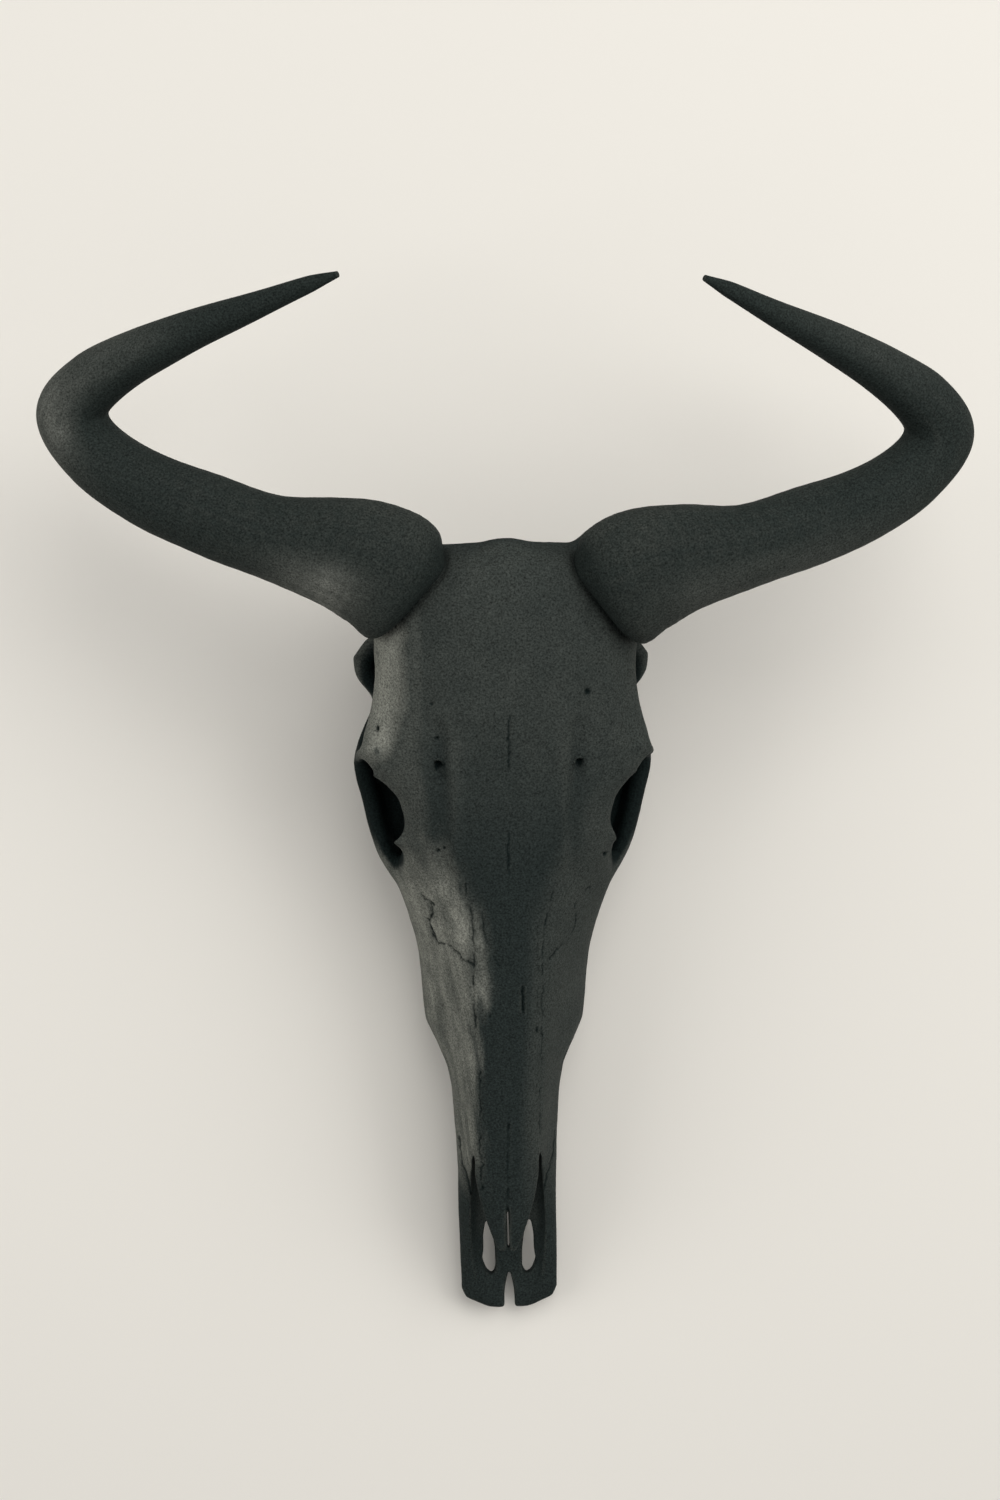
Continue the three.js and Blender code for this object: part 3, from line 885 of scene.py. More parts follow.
    def socket(self, points: Array, normals: Array) -> Array:
        """How much painted shade each point gets where it faces the hollow of an eye socket or of the
        temple behind it.

        The top of the cheek arch gets painted shade as well, because the brow keeps it in shadow.

        Args:
            points: Points in the head's frame.
            normals: The normals there.

        Returns:
            One number for each point, from 0 to 1.
        """
        x, y, z = np.abs(points[:, 0]), points[:, 1], points[:, 2]
        core_x, core_z = self.socket_core
        core_y = np.clip(y, *self.socket_reach)
        core = np.stack([core_x * np.sign(points[:, 0]), core_y, np.full(len(points), core_z)], axis=1)
        towards = core - points
        away = np.linalg.norm(towards, axis=1)
        facing = np.einsum("ij,ij->i", towards, normals) / np.maximum(away, 1.0)
        hollow = smoothstep(facing, 0.1, 0.5) * (1 - smoothstep(away, *self.socket_size))
        arch = smoothstep(x, *self.arch_inner) * self.arch_height.share(z) * self.arch_band.share(y)
        return np.maximum(hollow, arch * smoothstep(normals[:, 2], -0.1, 0.35))

    def tooth_relief(self, points: Array, lift: Array) -> Array:
        """Enamel ridges and crescents on the worn faces of the cheek teeth.

        Args:
            points: Points in the head's frame.
            lift: The Z of each point's normal.

        Returns:
            Distance outwards for each point, in millimetres.
        """
        result = np.zeros(len(points))
        face = smoothstep(-lift, 0.5, 0.9) * smoothstep(-points[:, 2], -3.0, -1.2)
        for x, y, length, width in self.tooth_rows:
            lobes = (-0.25, 0.25) if length > 0.95 * width else (0.0,)
            for lobe in lobes:
                across = (np.abs(points[:, 0]) - x) / (width / 2)
                along = (points[:, 1] - y - lobe * length) / (length / (2 * len(lobes)))
                ring = np.hypot(across + 0.25 * (1 - along**2), along * 0.9)
                crescent = bell(ring - 0.45, 0.13)
                result -= self.crescent_depth * face * crescent * (np.abs(along) < 1.0)
        return result

    def horn_painted_shade(self, points: Array, horns: list["HornSheath"]) -> Array:
        """The crack under the lip of each horn.

        Args:
            points: Points in the row frame, in millimetres.
            horns: The finished horns.

        Returns:
            Distance outwards for each point, in millimetres.
        """
        result = np.zeros(len(points))
        for horn in horns:
            low = horn.root_points.min(0) - self.horn_crack_reach
            high = horn.root_points.max(0) + self.horn_crack_reach
            near = np.where(np.all((points > low) & (points < high), axis=1))[0]
            tree = KDTree(len(horn.root_points))
            for i, point in enumerate(horn.root_points):
                tree.insert(point, i)
            tree.balance()
            gap = np.array([tree.find(points[i])[2] for i in near])
            result[near] -= self.horn_crack_depth * bell(gap, self.horn_crack_width)
        return result

    def smooth(self, surface: Surface, head: HeadFrame) -> None:
        """Smooth the even mesh, round off its corners, and twist the muzzle.

        Args:
            surface: The surface of the remeshed bones.
            head: The head's place.
        """
        surface.relax(*self.first_relax)
        points, lift = head.to_head(surface.points), surface.normals()[:, 2]
        surface.relax(self.roof_passes, self.smooth_shares(surface, points, lift))
        surface.relax(*self.second_relax)
        points = head.to_head(surface.points)
        surface.relax(self.corner_passes, self.corners(points))
        sideways = self.twist(points) + self.narrowed_slit(points) + self.ragged_rim(surface, points)
        surface.points[:, 0] += sideways

    def carve(self, surface: Surface, points: Array, lift: Array, horns: list["HornSheath"]) -> Array:
        """Cut the sutures, holes and cracks, and raise the ridges, tooth crowns and texture.

        Args:
            surface: The smoothed surface.
            points: Its points in the head's frame.
            lift: The Z of each point's normal.
            horns: The finished horns, for the crack under their lips.

        Returns:
            How far the sutures and holes move each point, below 0 inwards, in millimetres.
        """
        lines = self.right_sutures + self.left_sutures + self.midline
        cuts = sum(detail.amount(points, lift) for detail in lines + self.holes)
        swells = sum(line.amount(points, lift) for line in self.brow_lines + mirrored(self.brow_lines))
        details = self.texture(points, lift) + self.tooth_relief(points, lift) + cuts + swells
        surface.push(details + self.horn_painted_shade(surface.points, horns))
        surface.relax(*self.carved_relax)
        return cuts

    def build(self, frame: dict, head: HeadFrame, horns: list["HornSheath"]) -> bpy.types.Object:
        """Make the bone.

        Args:
            head: The head's place.
            horns: The finished horns, for the crack under their lips.

        Returns:
            The finished piece.
        """
        obj = self.closed_copy(frame["nodes"], head)
        self.remesh(obj)
        surface = Surface(obj)
        self.smooth(surface, head)
        points, normals = head.to_head(surface.points), surface.normals()
        cuts = self.carve(surface, points, normals[:, 2], horns)
        # painted shade in the eye sockets, sutures and holes; the dust layer adds painted light on the
        # slopes that face the light
        socket = self.socket(points, surface.spread(normals, self.facing_passes))
        dust_and_light = self.dust_and_light.amount(points, surface.spread(normals, self.slope_passes), socket)
        cracks = self.crack_shade * smoothstep(-cuts, *self.crack_depth)
        surface.store_paint_layers(dust_and_light, self.socket_shade * socket, cracks)
        surface.write()
        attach(obj, BODY)
        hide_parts(*self.nodes)
        return obj


def keep_largest_shell(obj: bpy.types.Object) -> None:
    """Delete every loose shell of a mesh but the one with the most points.

    Args:
        obj: The object whose mesh is cleaned.
    """
    surface = Surface(obj)
    label = np.arange(surface.count)
    a, b = surface.edges.T
    while True:
        lowest = label.copy()
        np.minimum.at(lowest, a, label[b])
        np.minimum.at(lowest, b, label[a])
        lowest = lowest[lowest]
        if np.array_equal(lowest, label):
            break
        label = lowest
    largest = np.bincount(label).argmax()
    loose = np.where(label != largest)[0]
    if len(loose) == 0:
        return
    mesh = bmesh.new()
    mesh.from_mesh(obj.data)
    mesh.verts.ensure_lookup_table()
    bmesh.ops.delete(mesh, geom=[mesh.verts[i] for i in loose], context="VERTS")
    mesh.to_mesh(obj.data)
    mesh.free()


@dataclass
class HornSheath:
    """One horn: a lofted sheath with growth swellings, fine grain and a blunt tip."""

    side: Side
    stations: tuple[Row, ...] = (
        (40, 480.5, 166, 8, 20),
        (62, 472, 170, 38.5, 26),
        (82, 482, 173, 39, 28),
        (107, 489.5, 172, 33.5, 26.5),
        (144, 498, 167, 25.8, 24.5),
        (182, 511.5, 159, 25.2, 23),
        (220, 527.5, 151, 23, 22),
        (251, 547.5, 147, 20.5, 21),
        (267, 571.5, 150, 20.3, 20),
        (252.5, 589.5, 163, 17.8, 18.5),
        (224, 604, 179, 15.1, 16),
        (188.5, 616, 200, 11.6, 12.5),
        (149.5, 626.5, 225, 7.6, 8.5),
        (119, 635, 245, 4.6, 5),
        (104, 638.5, 255, 1.8, 1.8),
    )
    plane_normal: Row = (0.05, -0.45, 0.89)
    centre: Row = (0, 483, 170)
    place: Row = (1.5, 480.6, 170)
    size: float = 0.99
    length: float = 520.0
    swelling_pitch: float = 11.0
    swelling_band: Band = Band((0.03, 0.09), (0.3, 0.62))
    bend_band: Band = Band((0.4, 0.52), (0.62, 0.74))
    tip_degrees: float = -1.05
    turn_degrees: float = -1.97
    aim_share: float = 0.05
    aim_from: float = 0.13
    unfold_passes: int = 320
    tip_lean: float = 1.8
    dome_share: float = 0.055
    root_share: float = 0.25
    root_reach: float = 0.2
    rings: int = 460
    ring_points: int = 84
    dusty_and_lit_places: tuple[tuple[float, float, float], ...] = ()
    root_points: Array = field(default_factory=lambda: np.empty((0, 3)))

    @property
    def name(self) -> str:
        """The piece's name, horn_sheath_ with its side."""
        return f"horn_sheath_{self.side.name.lower()}"

    def grid(self) -> tuple[Array, Array]:
        """Lay out the rings, closer together towards the tip.

        Returns:
            The share along the horn and the angle round it, for every ring point.
        """
        even = np.linspace(0.0, 1.0, self.rings)
        shares = even**1.15 * 0.75 + 0.25 * (0.5 - 0.5 * np.cos(np.pi * even))
        angles = np.linspace(0.0, 2 * np.pi, self.ring_points, endpoint=False)
        return np.repeat(shares, self.ring_points), np.tile(angles, self.rings)

    def wrapped(self, shares: Array, angles: Array, radius: float, stretch: float = 1.0) -> Array:
        """Places on a straight rod that stands for the horn, where noise runs round it without a seam.

        Args:
            shares: Places along the horn, from 0 to 1.
            angles: Places round it, in radians.
            radius: The rod's radius in millimetres.
            stretch: How much the rod is shortened, so that noise is drawn out along it.

        Returns:
            One row for each place.
        """
        along = shares * self.length / stretch
        return np.stack([np.cos(angles) * radius, np.sin(angles) * radius, along], axis=1)

    def relief(self, shares: Array, angles: Array) -> Array:
        """Growth swellings, lengthwise grain and knocks.

        Args:
            shares: Places along the horn, from 0 to 1.
            angles: Places round it, in radians.

        Returns:
            Distance outwards for each place, in millimetres.
        """
        seed = 70 + self.side.value
        turn = self.wrapped(shares, angles, 6, 40.0)
        bent = shares * self.length + 5.0 * noise(turn, 2.2, seed)
        rings = np.sin(bent / self.swelling_pitch * 2 * np.pi + 2.0 * noise(turn, 4.0, seed + 1))
        rings *= self.swelling_band.share(shares)
        grain = rough_noise(self.wrapped(shares, angles, 26, 34.0), 2.4, 2, seed + 2)
        lumps = noise(self.wrapped(shares, angles, 30), 24.0, seed + 3)
        girth = 1 - 0.85 * smoothstep(shares, 0.6, 1.0)
        return girth * (0.05 * rings + 0.12 * grain + 0.45 * lumps)

    def points(self, head: HeadFrame) -> tuple[Array, Array, Array]:
        """Places of all ring points.

        Args:
            head: The head's place.

        Returns:
            The points in the row frame, with their shares and angles.
        """
        shares, angles = self.grid()
        rows = np.asarray(self.stations, dtype=float)
        centres = curve_through(rows[:, :3], shares, 0.5)
        aim = np.maximum(shares, self.aim_from)
        ahead = curve_through(rows[:, :3], np.minimum(aim + self.aim_share, 1), 0.5)
        tangent = ahead - curve_through(rows[:, :3], aim - self.aim_share, 0.5)
        tangent /= np.linalg.norm(tangent, axis=1)[:, None]
        normal = np.asarray(self.plane_normal)
        depth_axis = normal - (tangent @ normal)[:, None] * tangent
        depth_axis /= np.linalg.norm(depth_axis, axis=1)[:, None]
        width_axis = np.cross(tangent, depth_axis)
        halves = curve_through(rows[:, 3:], shares, 0.0)
        domed = 1 - np.minimum(1, shares / self.dome_share)
        dome = self.root_share + (1 - self.root_share) * np.sqrt(1 - domed**2)
        outward = (
            width_axis * (np.cos(angles) * halves[:, 0] * dome)[:, None]
            - depth_axis * (np.sin(angles) * halves[:, 1] * dome)[:, None]
        )
        outward += outward / np.linalg.norm(outward, axis=1)[:, None] * self.relief(shares, angles)[:, None]
        made = (centres + outward) * np.array([self.side.value, 1, 1])
        made[:, 1] += self.side.value * self.tip_lean * shares**2
        turn = Matrix.Rotation(math.radians(self.turn_degrees), 3, "Z")
        tip = Matrix.Rotation(math.radians(self.tip_degrees), 3, "X")
        setting = np.array(turn @ tip)
        made = (made - np.asarray(self.centre)) * self.size @ setting.T + np.asarray(self.place)
        return head.to_row(made), shares, angles

    def unfolded(self, points: Array, shares: Array, angles: Array) -> Array:
        """Smooth the lines along the inner side of the bend, where the rings crowd and cross.

        Args:
            points: All ring points.
            shares: Their places along the horn, from 0 to 1.
            angles: Their places round it, in radians.

        Returns:
            The smoothed points.
        """
        weight = 0.9 * self.bend_band.share(shares) * smoothstep(-np.cos(angles), -0.5, 0.3)
        grid = points.reshape(self.rings, self.ring_points, 3).copy()
        weight = weight.reshape(self.rings, self.ring_points, 1)
        for _ in range(self.unfold_passes):
            middle = 0.5 * (grid[:-2] + grid[2:])
            grid[1:-1] += weight[1:-1] * (middle - grid[1:-1])
        return grid.reshape(-1, 3)

    def dust_and_light(self, shares: Array, angles: Array) -> Array:
        """Where the horn is worn and dusty, or paler with painted light: on its outer side, at the places
        given.

        Args:
            shares: Places along the horn, from 0 to 1.
            angles: Places round it, in radians.

        Returns:
            One number for each place, from 0 to 1.
        """
        outer = smoothstep(np.cos(angles), -0.4, 0.6)
        place = self.wrapped(shares, angles, 25)
        patches = 0.8 + 0.5 * rough_noise(place, (12.0, 12.0, 26.0), 4, seed=91)
        total = sum(strength * bell(shares - share, width) for share, width, strength in self.dusty_and_lit_places)
        return total * outer * patches

    def faces(self) -> list[tuple[int, ...]]:
        """Quads between the rings, and one cap at each end.

        Returns:
            The faces, all facing outwards.
        """
        n = self.ring_points
        made: list[tuple[int, ...]] = []
        for ring in range(self.rings - 1):
            for k in range(n):
                a, b = ring * n + k, ring * n + (k + 1) % n
                made.append((a, b, b + n, a + n))
        made.append(tuple(range(n))[::-1])
        made.append(tuple(range((self.rings - 1) * n, self.rings * n)))
        if self.side is Side.LEFT:
            return made
        return [face[::-1] for face in made]

    def build(self, head: HeadFrame) -> bpy.types.Object:
        """Make the horn.

        Args:
            head: The head's place.

        Returns:
            The finished piece.
        """
        points, shares, angles = self.points(head)
        points = self.unfolded(points, shares, angles)
        self.root_points = points[shares < self.root_reach]
        mesh = bpy.data.meshes.new(self.name)
        mesh.from_pydata(points * MM, [], self.faces())
        mesh.polygons.foreach_set("use_smooth", [True] * len(mesh.polygons))
        mesh.update()
        obj = bpy.data.objects.new(self.name, mesh)
        bpy.context.scene.collection.objects.link(obj)
        surface = Surface(obj)
        surface.store_paint_layers(self.dust_and_light(shares, angles))
        surface.store(Layer.ALONG, shares)
        surface.store(Layer.AROUND, angles / (2 * np.pi))
        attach(obj, BODY)
        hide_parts(f"horn_{self.side.name.lower()}")
        return obj


class EffectGroup:
    """A shader node group with named inputs and outputs, built once and placed in many materials."""

    def __init__(self, name: str) -> None:
        """Start an empty group.

        Args:
            name: The group's name.
        """
        self.tree = bpy.data.node_groups.new(name, "ShaderNodeTree")
        self.inputs = self.tree.nodes.new("NodeGroupInput")
        self.outputs = self.tree.nodes.new("NodeGroupOutput")

    def socket(self, name: str, kind: str, out: bool = False, default: float | None = None) -> None:
        """Add a socket.

        Args:
            name: The socket's name.
            kind: Float, Color or Vector.
            out: True for an output.
            default: The value of an unlinked input.
        """
        made = self.tree.interface.new_socket(
            name, in_out="OUTPUT" if out else "INPUT", socket_type=f"NodeSocket{kind}"
        )
        if default is not None:
            made.default_value = default

    def node(self, kind: str, **settings: object) -> bpy.types.Node:
        """Add a node of a kind with its settings."""
        return add_node(self.tree, kind, **settings)

    def link(self, source: bpy.types.NodeSocket, target: bpy.types.NodeSocket) -> None:
        """Join two sockets."""
        self.tree.links.new(source, target)


def add_node(tree: bpy.types.NodeTree, kind: str, **settings: object) -> bpy.types.Node:
    """Add a node to a tree.

    Args:
        tree: The tree.
        kind: The node's type, without its Shader prefix.
        settings: Properties of the node, or defaults of its named inputs.

    Returns:
        The node.
    """
    made = tree.nodes.new(f"ShaderNode{kind}")
    for key, value in settings.items():
        if hasattr(made, key):
            setattr(made, key, value)
        else:
            made.inputs[key].default_value = value
    return made


def ramp(node: bpy.types.Node, stops: tuple[tuple[float, float], ...]) -> None:
    """Set a ramp's grey stops.

    Args:
        node: A colour ramp node.
        stops: Each stop's place and grey value.
    """
    elements = node.color_ramp.elements
    while len(elements) < len(stops):
        elements.new(0.5)
    for element, (place, grey) in zip(elements, stops):
        element.position = place
        element.color = (grey, grey, grey, 1.0)


class PaintEffects:
    """The effects that all painted surfaces share."""

    def __init__(self) -> None:
        """Build each group once."""
        self.grain = self.paint_grain()
        self.mottle = self.paint_mottle()
        self.rub = self.rubbed_paint()

    def paint_grain(self) -> bpy.types.NodeTree:
        """Fine speckle of matt paint.

        Returns:
            A group that gives a tone and a height.
        """
        group = EffectGroup("paint_grain")
        group.socket("Vector", "Vector")
        group.socket("Scale", "Float", default=900.0)
        group.socket("Tone", "Float", out=True)
        group.socket("Height", "Float", out=True)
        fine = group.node("TexNoise", Detail=3.0, Roughness=0.7)
        coarse = group.node("TexNoise", Detail=2.0, Roughness=0.6)
        part = group.node("Math", operation="MULTIPLY")
        part.inputs[1].default_value = 0.22
        group.link(group.inputs.outputs["Scale"], part.inputs[0])
        for texture, scale in ((fine, group.inputs.outputs["Scale"]), (coarse, part.outputs[0])):
            group.link(group.inputs.outputs["Vector"], texture.inputs["Vector"])
            group.link(scale, texture.inputs["Scale"])
        total = group.node("Math", operation="MULTIPLY_ADD")
        total.inputs[1].default_value = 0.6
        group.link(coarse.outputs["Fac"], total.inputs[0])
        group.link(fine.outputs["Fac"], total.inputs[2])
        group.link(fine.outputs["Fac"], group.outputs.inputs["Tone"])
        group.link(total.outputs[0], group.outputs.inputs["Height"])
        return group.tree

    def paint_mottle(self) -> bpy.types.NodeTree:
        """Uneven coverage of brushed paint.

        Returns:
            A group that gives a tone from thin to thick.
        """
        group = EffectGroup("paint_mottle")
        group.socket("Vector", "Vector")
        group.socket("Scale", "Float", default=30.0)
        group.socket("Tone", "Float", out=True)
        cloud = group.node("TexNoise", Detail=6.0, Roughness=0.62, Distortion=0.4)
        group.link(group.inputs.outputs["Vector"], cloud.inputs["Vector"])
        group.link(group.inputs.outputs["Scale"], cloud.inputs["Scale"])
        shape = group.node("ValToRGB")
        ramp(shape, ((0.32, 0.0), (0.68, 1.0)))
        group.link(cloud.outputs["Fac"], shape.inputs["Fac"])
        group.link(shape.outputs["Color"], group.outputs.inputs["Tone"])
        return group.tree

    def rubbed_paint(self) -> bpy.types.NodeTree:
        """Where paint is rubbed thin on edges, broken up by its mottling.

        Returns:
            A group that gives a mask.
        """
        group = EffectGroup("rubbed_paint")
        for name in ("Wear", "Mottle", "Speckle"):
            group.socket(name, "Float", default=0.5)
        group.socket("Mask", "Float", out=True)
        broken = group.node("Math", operation="MULTIPLY_ADD")
        broken.inputs[1].default_value = 0.55
        group.link(group.inputs.outputs["Mottle"], broken.inputs[0])
        group.link(group.inputs.outputs["Speckle"], broken.inputs[2])
        mask = group.node("Math", operation="MULTIPLY")
        group.link(group.inputs.outputs["Wear"], mask.inputs[0])
        group.link(broken.outputs[0], mask.inputs[1])
        limit = group.node("Clamp")
        group.link(mask.outputs[0], limit.inputs["Value"])
        group.link(limit.outputs[0], group.outputs.inputs["Mask"])
        return group.tree


@dataclass(frozen=True)
class MattPaint:
    """Matt charcoal paint on bone or horn."""

    name: str
    colour: Row
    thin_colour: Row
    shade_colour: Row
    dust_and_light_colour: Row
    roughness: tuple[float, float] = (0.52, 0.72)
    grain_scale: float = 850.0
    mottle_scale: float = 60.0
    bump: float = 0.25
    bump_height: float = 0.0004
    specular: float = 0.02
    dust_and_light_cover: tuple[float, float] = (0.72, 1.0)
    speckle: tuple[float, float] = (0.35, 1.65)
    grain_range: tuple[float, float] = (0.3, 0.7)
    streaks: bool = False

    def build(self, effects: PaintEffects) -> bpy.types.Material:
        """Make the material.

        Args:
            effects: The shared effects.

        Returns:
            The material.
        """
        material = bpy.data.materials.new(self.name)
        material.use_nodes = True
        tree = material.node_tree
        shader = tree.nodes["Principled BSDF"]
        shader.inputs["Specular IOR Level"].default_value = self.specular
        place = add_node(tree, "TexCoord").outputs["Object"]
        grain = self.effect(tree, effects.grain, place, self.grain_scale)
        mottle = self.effect(tree, effects.mottle, place, self.mottle_scale).outputs["Tone"]
        colour = self.layered(tree, effects.rub, grain.outputs["Tone"], mottle)
        tree.links.new(self.speckled(tree, colour, grain.outputs["Tone"]), shader.inputs["Base Color"])
        tree.links.new(self.ranged(tree, mottle, self.roughness), shader.inputs["Roughness"])
        bump = add_node(tree, "Bump", Strength=self.bump, Distance=self.bump_height)
        tree.links.new(grain.outputs["Height"], bump.inputs["Height"])
        tree.links.new(bump.outputs["Normal"], shader.inputs["Normal"])
        return material

    def layered(
        self,
        tree: bpy.types.NodeTree,
        rub_group: bpy.types.NodeTree,
        grain: bpy.types.NodeSocket,
        mottle: bpy.types.NodeSocket,
    ) -> bpy.types.NodeSocket:
        """Lay dust and painted light, rubbed paint, painted shade in hollows, and streaks over the paint's
        colour.

        Args:
            tree: The material's nodes.
            rub_group: The effect that gives rubbed places.
            grain: The grain's tone.
            mottle: The mottling's tone.

        Returns:
            The socket of the colour.
        """
        rub = add_node(tree, "Group", node_tree=rub_group)
        sources = (self.layer(tree, Layer.WEAR), mottle, grain)
        for name, source in zip(("Wear", "Mottle", "Speckle"), sources):
            tree.links.new(source, rub.inputs[name])
        # dust and painted light
        dust_and_light = add_node(tree, "Math", operation="MULTIPLY")
        tree.links.new(self.layer(tree, Layer.DUST_AND_LIGHT), dust_and_light.inputs[0])
        tree.links.new(self.ranged(tree, mottle, self.dust_and_light_cover), dust_and_light.inputs[1])
        colour = self.mixed(tree, self.colour, self.dust_and_light_colour, dust_and_light.outputs[0])
        colour = self.mixed(tree, colour, self.thin_colour, rub.outputs["Mask"])
        colour = self.mixed(tree, colour, self.shade_colour, self.layer(tree, Layer.PAINTED_SHADE))
        return self.streaked(tree, colour) if self.streaks else colour

    def ranged(
        self,
        tree: bpy.types.NodeTree,
        value: bpy.types.NodeSocket,
        to: tuple[float, float],
        start: tuple[float, float] = (0.0, 1.0),
    ) -> bpy.types.NodeSocket:
        """Stretch a value from one range to another.

        Args:
            tree: The material's nodes.
            value: The value's socket.
            to: The range that it gets.
            start: The range that it has.

        Returns:
            The socket of the stretched value.
        """
        made = add_node(tree, "MapRange")
        for name, limit in zip(("From Min", "From Max", "To Min", "To Max"), (*start, *to)):
            made.inputs[name].default_value = limit
        tree.links.new(value, made.inputs["Value"])
        return made.outputs["Result"]

    def effect(
        self, tree: bpy.types.NodeTree, group: bpy.types.NodeTree, place: bpy.types.NodeSocket, scale: float
    ) -> bpy.types.Node:
        """Place a shared effect in the material.

        Args:
            tree: The material's nodes.
            group: The effect.
            place: The coordinates it uses.
            scale: Its scale.

        Returns:
            The group node.
        """
        made = add_node(tree, "Group", node_tree=group)
        made.inputs["Scale"].default_value = scale
        tree.links.new(place, made.inputs["Vector"])
        return made

    def layer(self, tree: bpy.types.NodeTree, layer: Layer) -> bpy.types.NodeSocket:
        """The value of a layer that is kept at the mesh's points."""
        return add_node(tree, "Attribute", attribute_name=layer.value).outputs["Fac"]

    def mixed(
        self,
        tree: bpy.types.NodeTree,
        under: Row | bpy.types.NodeSocket,
        over: Row,
        share: bpy.types.NodeSocket,
    ) -> bpy.types.NodeSocket:
        """Lay one colour over another.

        Args:
            tree: The material's nodes.
            under: The colour below, or the socket that gives it.
            over: The colour on top.
            share: How much of the upper colour shows.

        Returns:
            The socket of the mixed colour.
        """
        mix = add_node(tree, "Mix", data_type="RGBA")
        factor, below, above = (mix.inputs[place] for place in COLOUR_MIX_INPUTS)
        if isinstance(under, tuple):
            below.default_value = (*under, 1.0)
        else:
            tree.links.new(under, below)
        above.default_value = (*over, 1.0)
        tree.links.new(share, factor)
        return mix.outputs[COLOUR_MIX_RESULT]

    def speckled(
        self, tree: bpy.types.NodeTree, colour: bpy.types.NodeSocket, tone: bpy.types.NodeSocket
    ) -> bpy.types.NodeSocket:
        """Vary a colour's brightness with the grain of the paint.

        Args:
            tree: The material's nodes.
            colour: The colour below.
            tone: The grain's tone.

        Returns:
            The socket of the speckled colour.
        """
        varied = add_node(tree, "HueSaturation")
        tree.links.new(self.ranged(tree, tone, self.speckle, self.grain_range), varied.inputs["Value"])
        tree.links.new(colour, varied.inputs["Color"])
        return varied.outputs["Color"]

    def streaked(self, tree: bpy.types.NodeTree, colour: bpy.types.NodeSocket) -> bpy.types.NodeSocket:
        """Draw faint streaks along the horn.

        Args:
            tree: The material's nodes.
            colour: The colour below.

        Returns:
            The socket of the streaked colour.
        """
        place = add_node(tree, "CombineXYZ")
        tree.links.new(self.layer(tree, Layer.ALONG), place.inputs["X"])
        tree.links.new(self.layer(tree, Layer.AROUND), place.inputs["Y"])
        stretch = add_node(tree, "VectorMath", operation="MULTIPLY")
        stretch.inputs[1].default_value = (9.0, 34.0, 1.0)
        tree.links.new(place.outputs[0], stretch.inputs[0])
        lines = add_node(tree, "TexNoise", Scale=2.0, Detail=4.0, Roughness=0.6)
        tree.links.new(stretch.outputs[0], lines.inputs["Vector"])
        shape = add_node(tree, "ValToRGB")
        ramp(shape, ((0.5, 0.0), (0.75, 0.35)))
        tree.links.new(lines.outputs["Fac"], shape.inputs["Fac"])
        return self.mixed(tree, colour, self.thin_colour, shape.outputs["Color"])


# In both paints the hollow colour is painted shade, and the dust colour stands for dust and for painted
# light.
BONE_PAINT = MattPaint(
    "matt_paint_on_bone",
    colour=(0.0212, 0.0278, 0.0268),
    thin_colour=(0.046, 0.052, 0.047),
    shade_colour=(0.0045, 0.0085, 0.0085),
    dust_and_light_colour=(0.246, 0.252, 0.222),
)
HORN_PAINT = MattPaint(
    "matt_paint_on_horn",
    colour=(0.0205, 0.0268, 0.0252),
    thin_colour=(0.038, 0.043, 0.039),
    shade_colour=(0.007, 0.010, 0.010),
    dust_and_light_colour=(0.188, 0.194, 0.175),
    streaks=True,
)


@dataclass(frozen=True)
class PaleFloor:
    """The plain pale surface that the skull lies on."""

    colour: Row = (0.90, 0.875, 0.825)
    roughness: float = 0.9
    specular: float = 0.1
    half_size: float = 4.0
    drop: float = 0.0003

    def build(self) -> bpy.types.Object:
        """Make the floor.

        Returns:
            The floor.
        """
        mesh = bpy.data.meshes.new("floor")
        s = self.half_size
        corners = [(x, y, -self.drop) for x, y in ((-s, -s), (s, -s), (s, s), (-s, s))]
        mesh.from_pydata(corners, [], [(0, 1, 2, 3)])
        obj = bpy.data.objects.new("floor", mesh)
        bpy.context.scene.collection.objects.link(obj)
        material = bpy.data.materials.new("pale_floor")
        material.use_nodes = True
        shader = material.node_tree.nodes["Principled BSDF"]
        shader.inputs["Base Color"].default_value = (*self.colour, 1.0)
        shader.inputs["Roughness"].default_value = self.roughness
        shader.inputs["Specular IOR Level"].default_value = self.specular
        mesh.materials.append(material)
        return obj


@dataclass(frozen=True)
class SoftLight:
    """One large soft lamp."""

    name: str
    place: Row
    target: Row
    size: float
    power: float
    colour: Row = (1.0, 0.985, 0.955)

    def build(self) -> bpy.types.Object:
        """Make the lamp.

        Returns:
            The lamp.
        """
        data = bpy.data.lights.new(self.name, "AREA")
        data.shape = "SQUARE"
        data.size = self.size
        data.energy = self.power
        data.color = self.colour
        obj = bpy.data.objects.new(self.name, data)
        bpy.context.scene.collection.objects.link(obj)
        back = np.asarray(self.place) - np.asarray(self.target)
        obj.matrix_world = look_matrix(self.place, back)
        return obj


def look_matrix(place: Row, back: Array) -> Matrix:
    """A matrix at a place whose -Z looks away from back.

    Args:
        place: Where the lamp stands.
        back: The direction behind it.

    Returns:
        The matrix.
    """
    z = back / np.linalg.norm(back)
    x = np.cross((0.0, 1.0, 0.0), z)
    x /= np.linalg.norm(x)
    y = np.cross(z, x)
    made = np.eye(4)
    made[:3, 0], made[:3, 1], made[:3, 2], made[:3, 3] = x, y, z, place
    return Matrix(made.tolist())


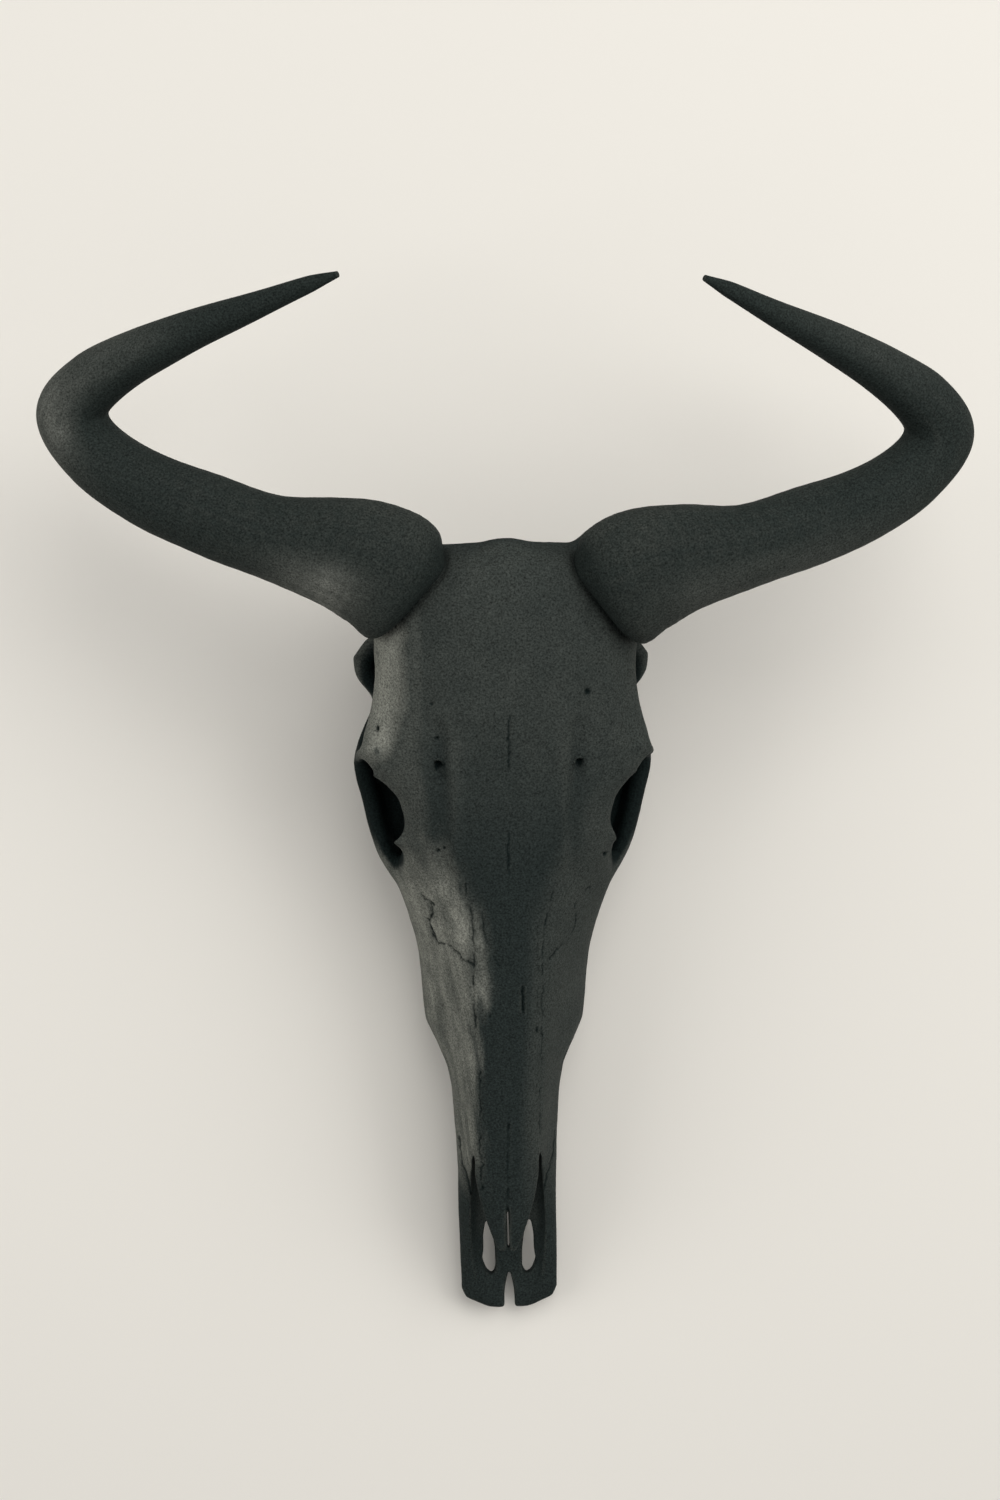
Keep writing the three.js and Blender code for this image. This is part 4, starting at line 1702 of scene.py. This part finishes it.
@dataclass(frozen=True)
class Studio:
    """Floor, soft light and the camera that looks down on the skull."""

    yaw: float = 0.05
    pitch: float = -0.00136
    roll: float = 0.01791
    pivot: Row = (0.0, 0.0, 0.1)
    camera_offset: Row = (-0.00794, 0.0510, 1.4)
    lens: float = 53.52
    sensor: float = 36.0
    sky: float = 0.325
    sky_colour: Row = (1.0, 0.99, 0.97)
    lamps: tuple[SoftLight, ...] = (
        SoftLight("key", (-2.0, 0.3, 1.6), (0, 0.05, 0.1), 1.8, 16.0),
        SoftLight("fill", (2.0, 0.4, 1.8), (0, 0.05, 0.1), 1.8, 17.0),
        SoftLight("top", (0.7, 1.2, 2.5), (0, 0, 0), 2.2, 36.0),
    )

    def build(self) -> None:
        """Make the floor, the lamps, the sky and the camera."""
        PaleFloor().build()
        for lamp in self.lamps:
            lamp.build()
        bpy.context.scene.view_settings.view_transform = "Standard"
        self.build_sky()
        self.build_camera()

    def build_sky(self) -> None:
        """Make the even light that comes from all round."""
        world = bpy.data.worlds.new("soft_sky")
        world.use_nodes = True
        sky = world.node_tree.nodes["Background"]
        sky.inputs["Color"].default_value = (*self.sky_colour, 1.0)
        sky.inputs["Strength"].default_value = self.sky
        bpy.context.scene.world = world

    def build_camera(self) -> None:
        """Make the camera, turned about the pivot from straight above it."""
        data = bpy.data.cameras.new("camera")
        data.sensor_width = self.sensor
        data.lens = self.lens
        camera = bpy.data.objects.new("camera", data)
        turn = (
            Matrix.Rotation(-self.yaw, 4, "Y")
            @ Matrix.Rotation(-self.pitch, 4, "X")
            @ Matrix.Rotation(-self.roll, 4, "Z")
        )
        offset = Matrix.Translation(self.camera_offset)
        camera.matrix_world = Matrix.Translation(self.pivot) @ turn @ offset
        bpy.context.scene.collection.objects.link(camera)
        bpy.context.scene.camera = camera


def main() -> None:
    """Build every piece in order."""
    logging.basicConfig(level=logging.INFO, format="%(name)s: %(message)s")
    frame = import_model()
    head = HeadFrame.from_nodes()
    effects = PaintEffects()
    bone_paint = BONE_PAINT.build(effects)
    horn_paint = HORN_PAINT.build(effects)
    horns = [
        # On the right horn the strong patch near the root is painted light where its base faces the light;
        # the other places are dust and wear.
        HornSheath(Side.LEFT, dusty_and_lit_places=((0.27, 0.15, 0.35), (0.74, 0.1, 0.12))),
        HornSheath(Side.RIGHT, dusty_and_lit_places=((0.2, 0.065, 1.2), (0.575, 0.065, 0.9), (0.7, 0.06, 0.25))),
    ]
    for horn in horns:
        piece = horn.build(head)
        piece.data.materials.append(horn_paint)
        LOG.info("%s has %d faces", piece.name, len(piece.data.polygons))
    bone = SkullBone().build(frame, head, horns)
    bone.data.materials.clear()
    bone.data.materials.append(bone_paint)
    LOG.info("%s has %d faces", bone.name, len(bone.data.polygons))
    Studio().build()


if __name__ == "__main__":
    main()
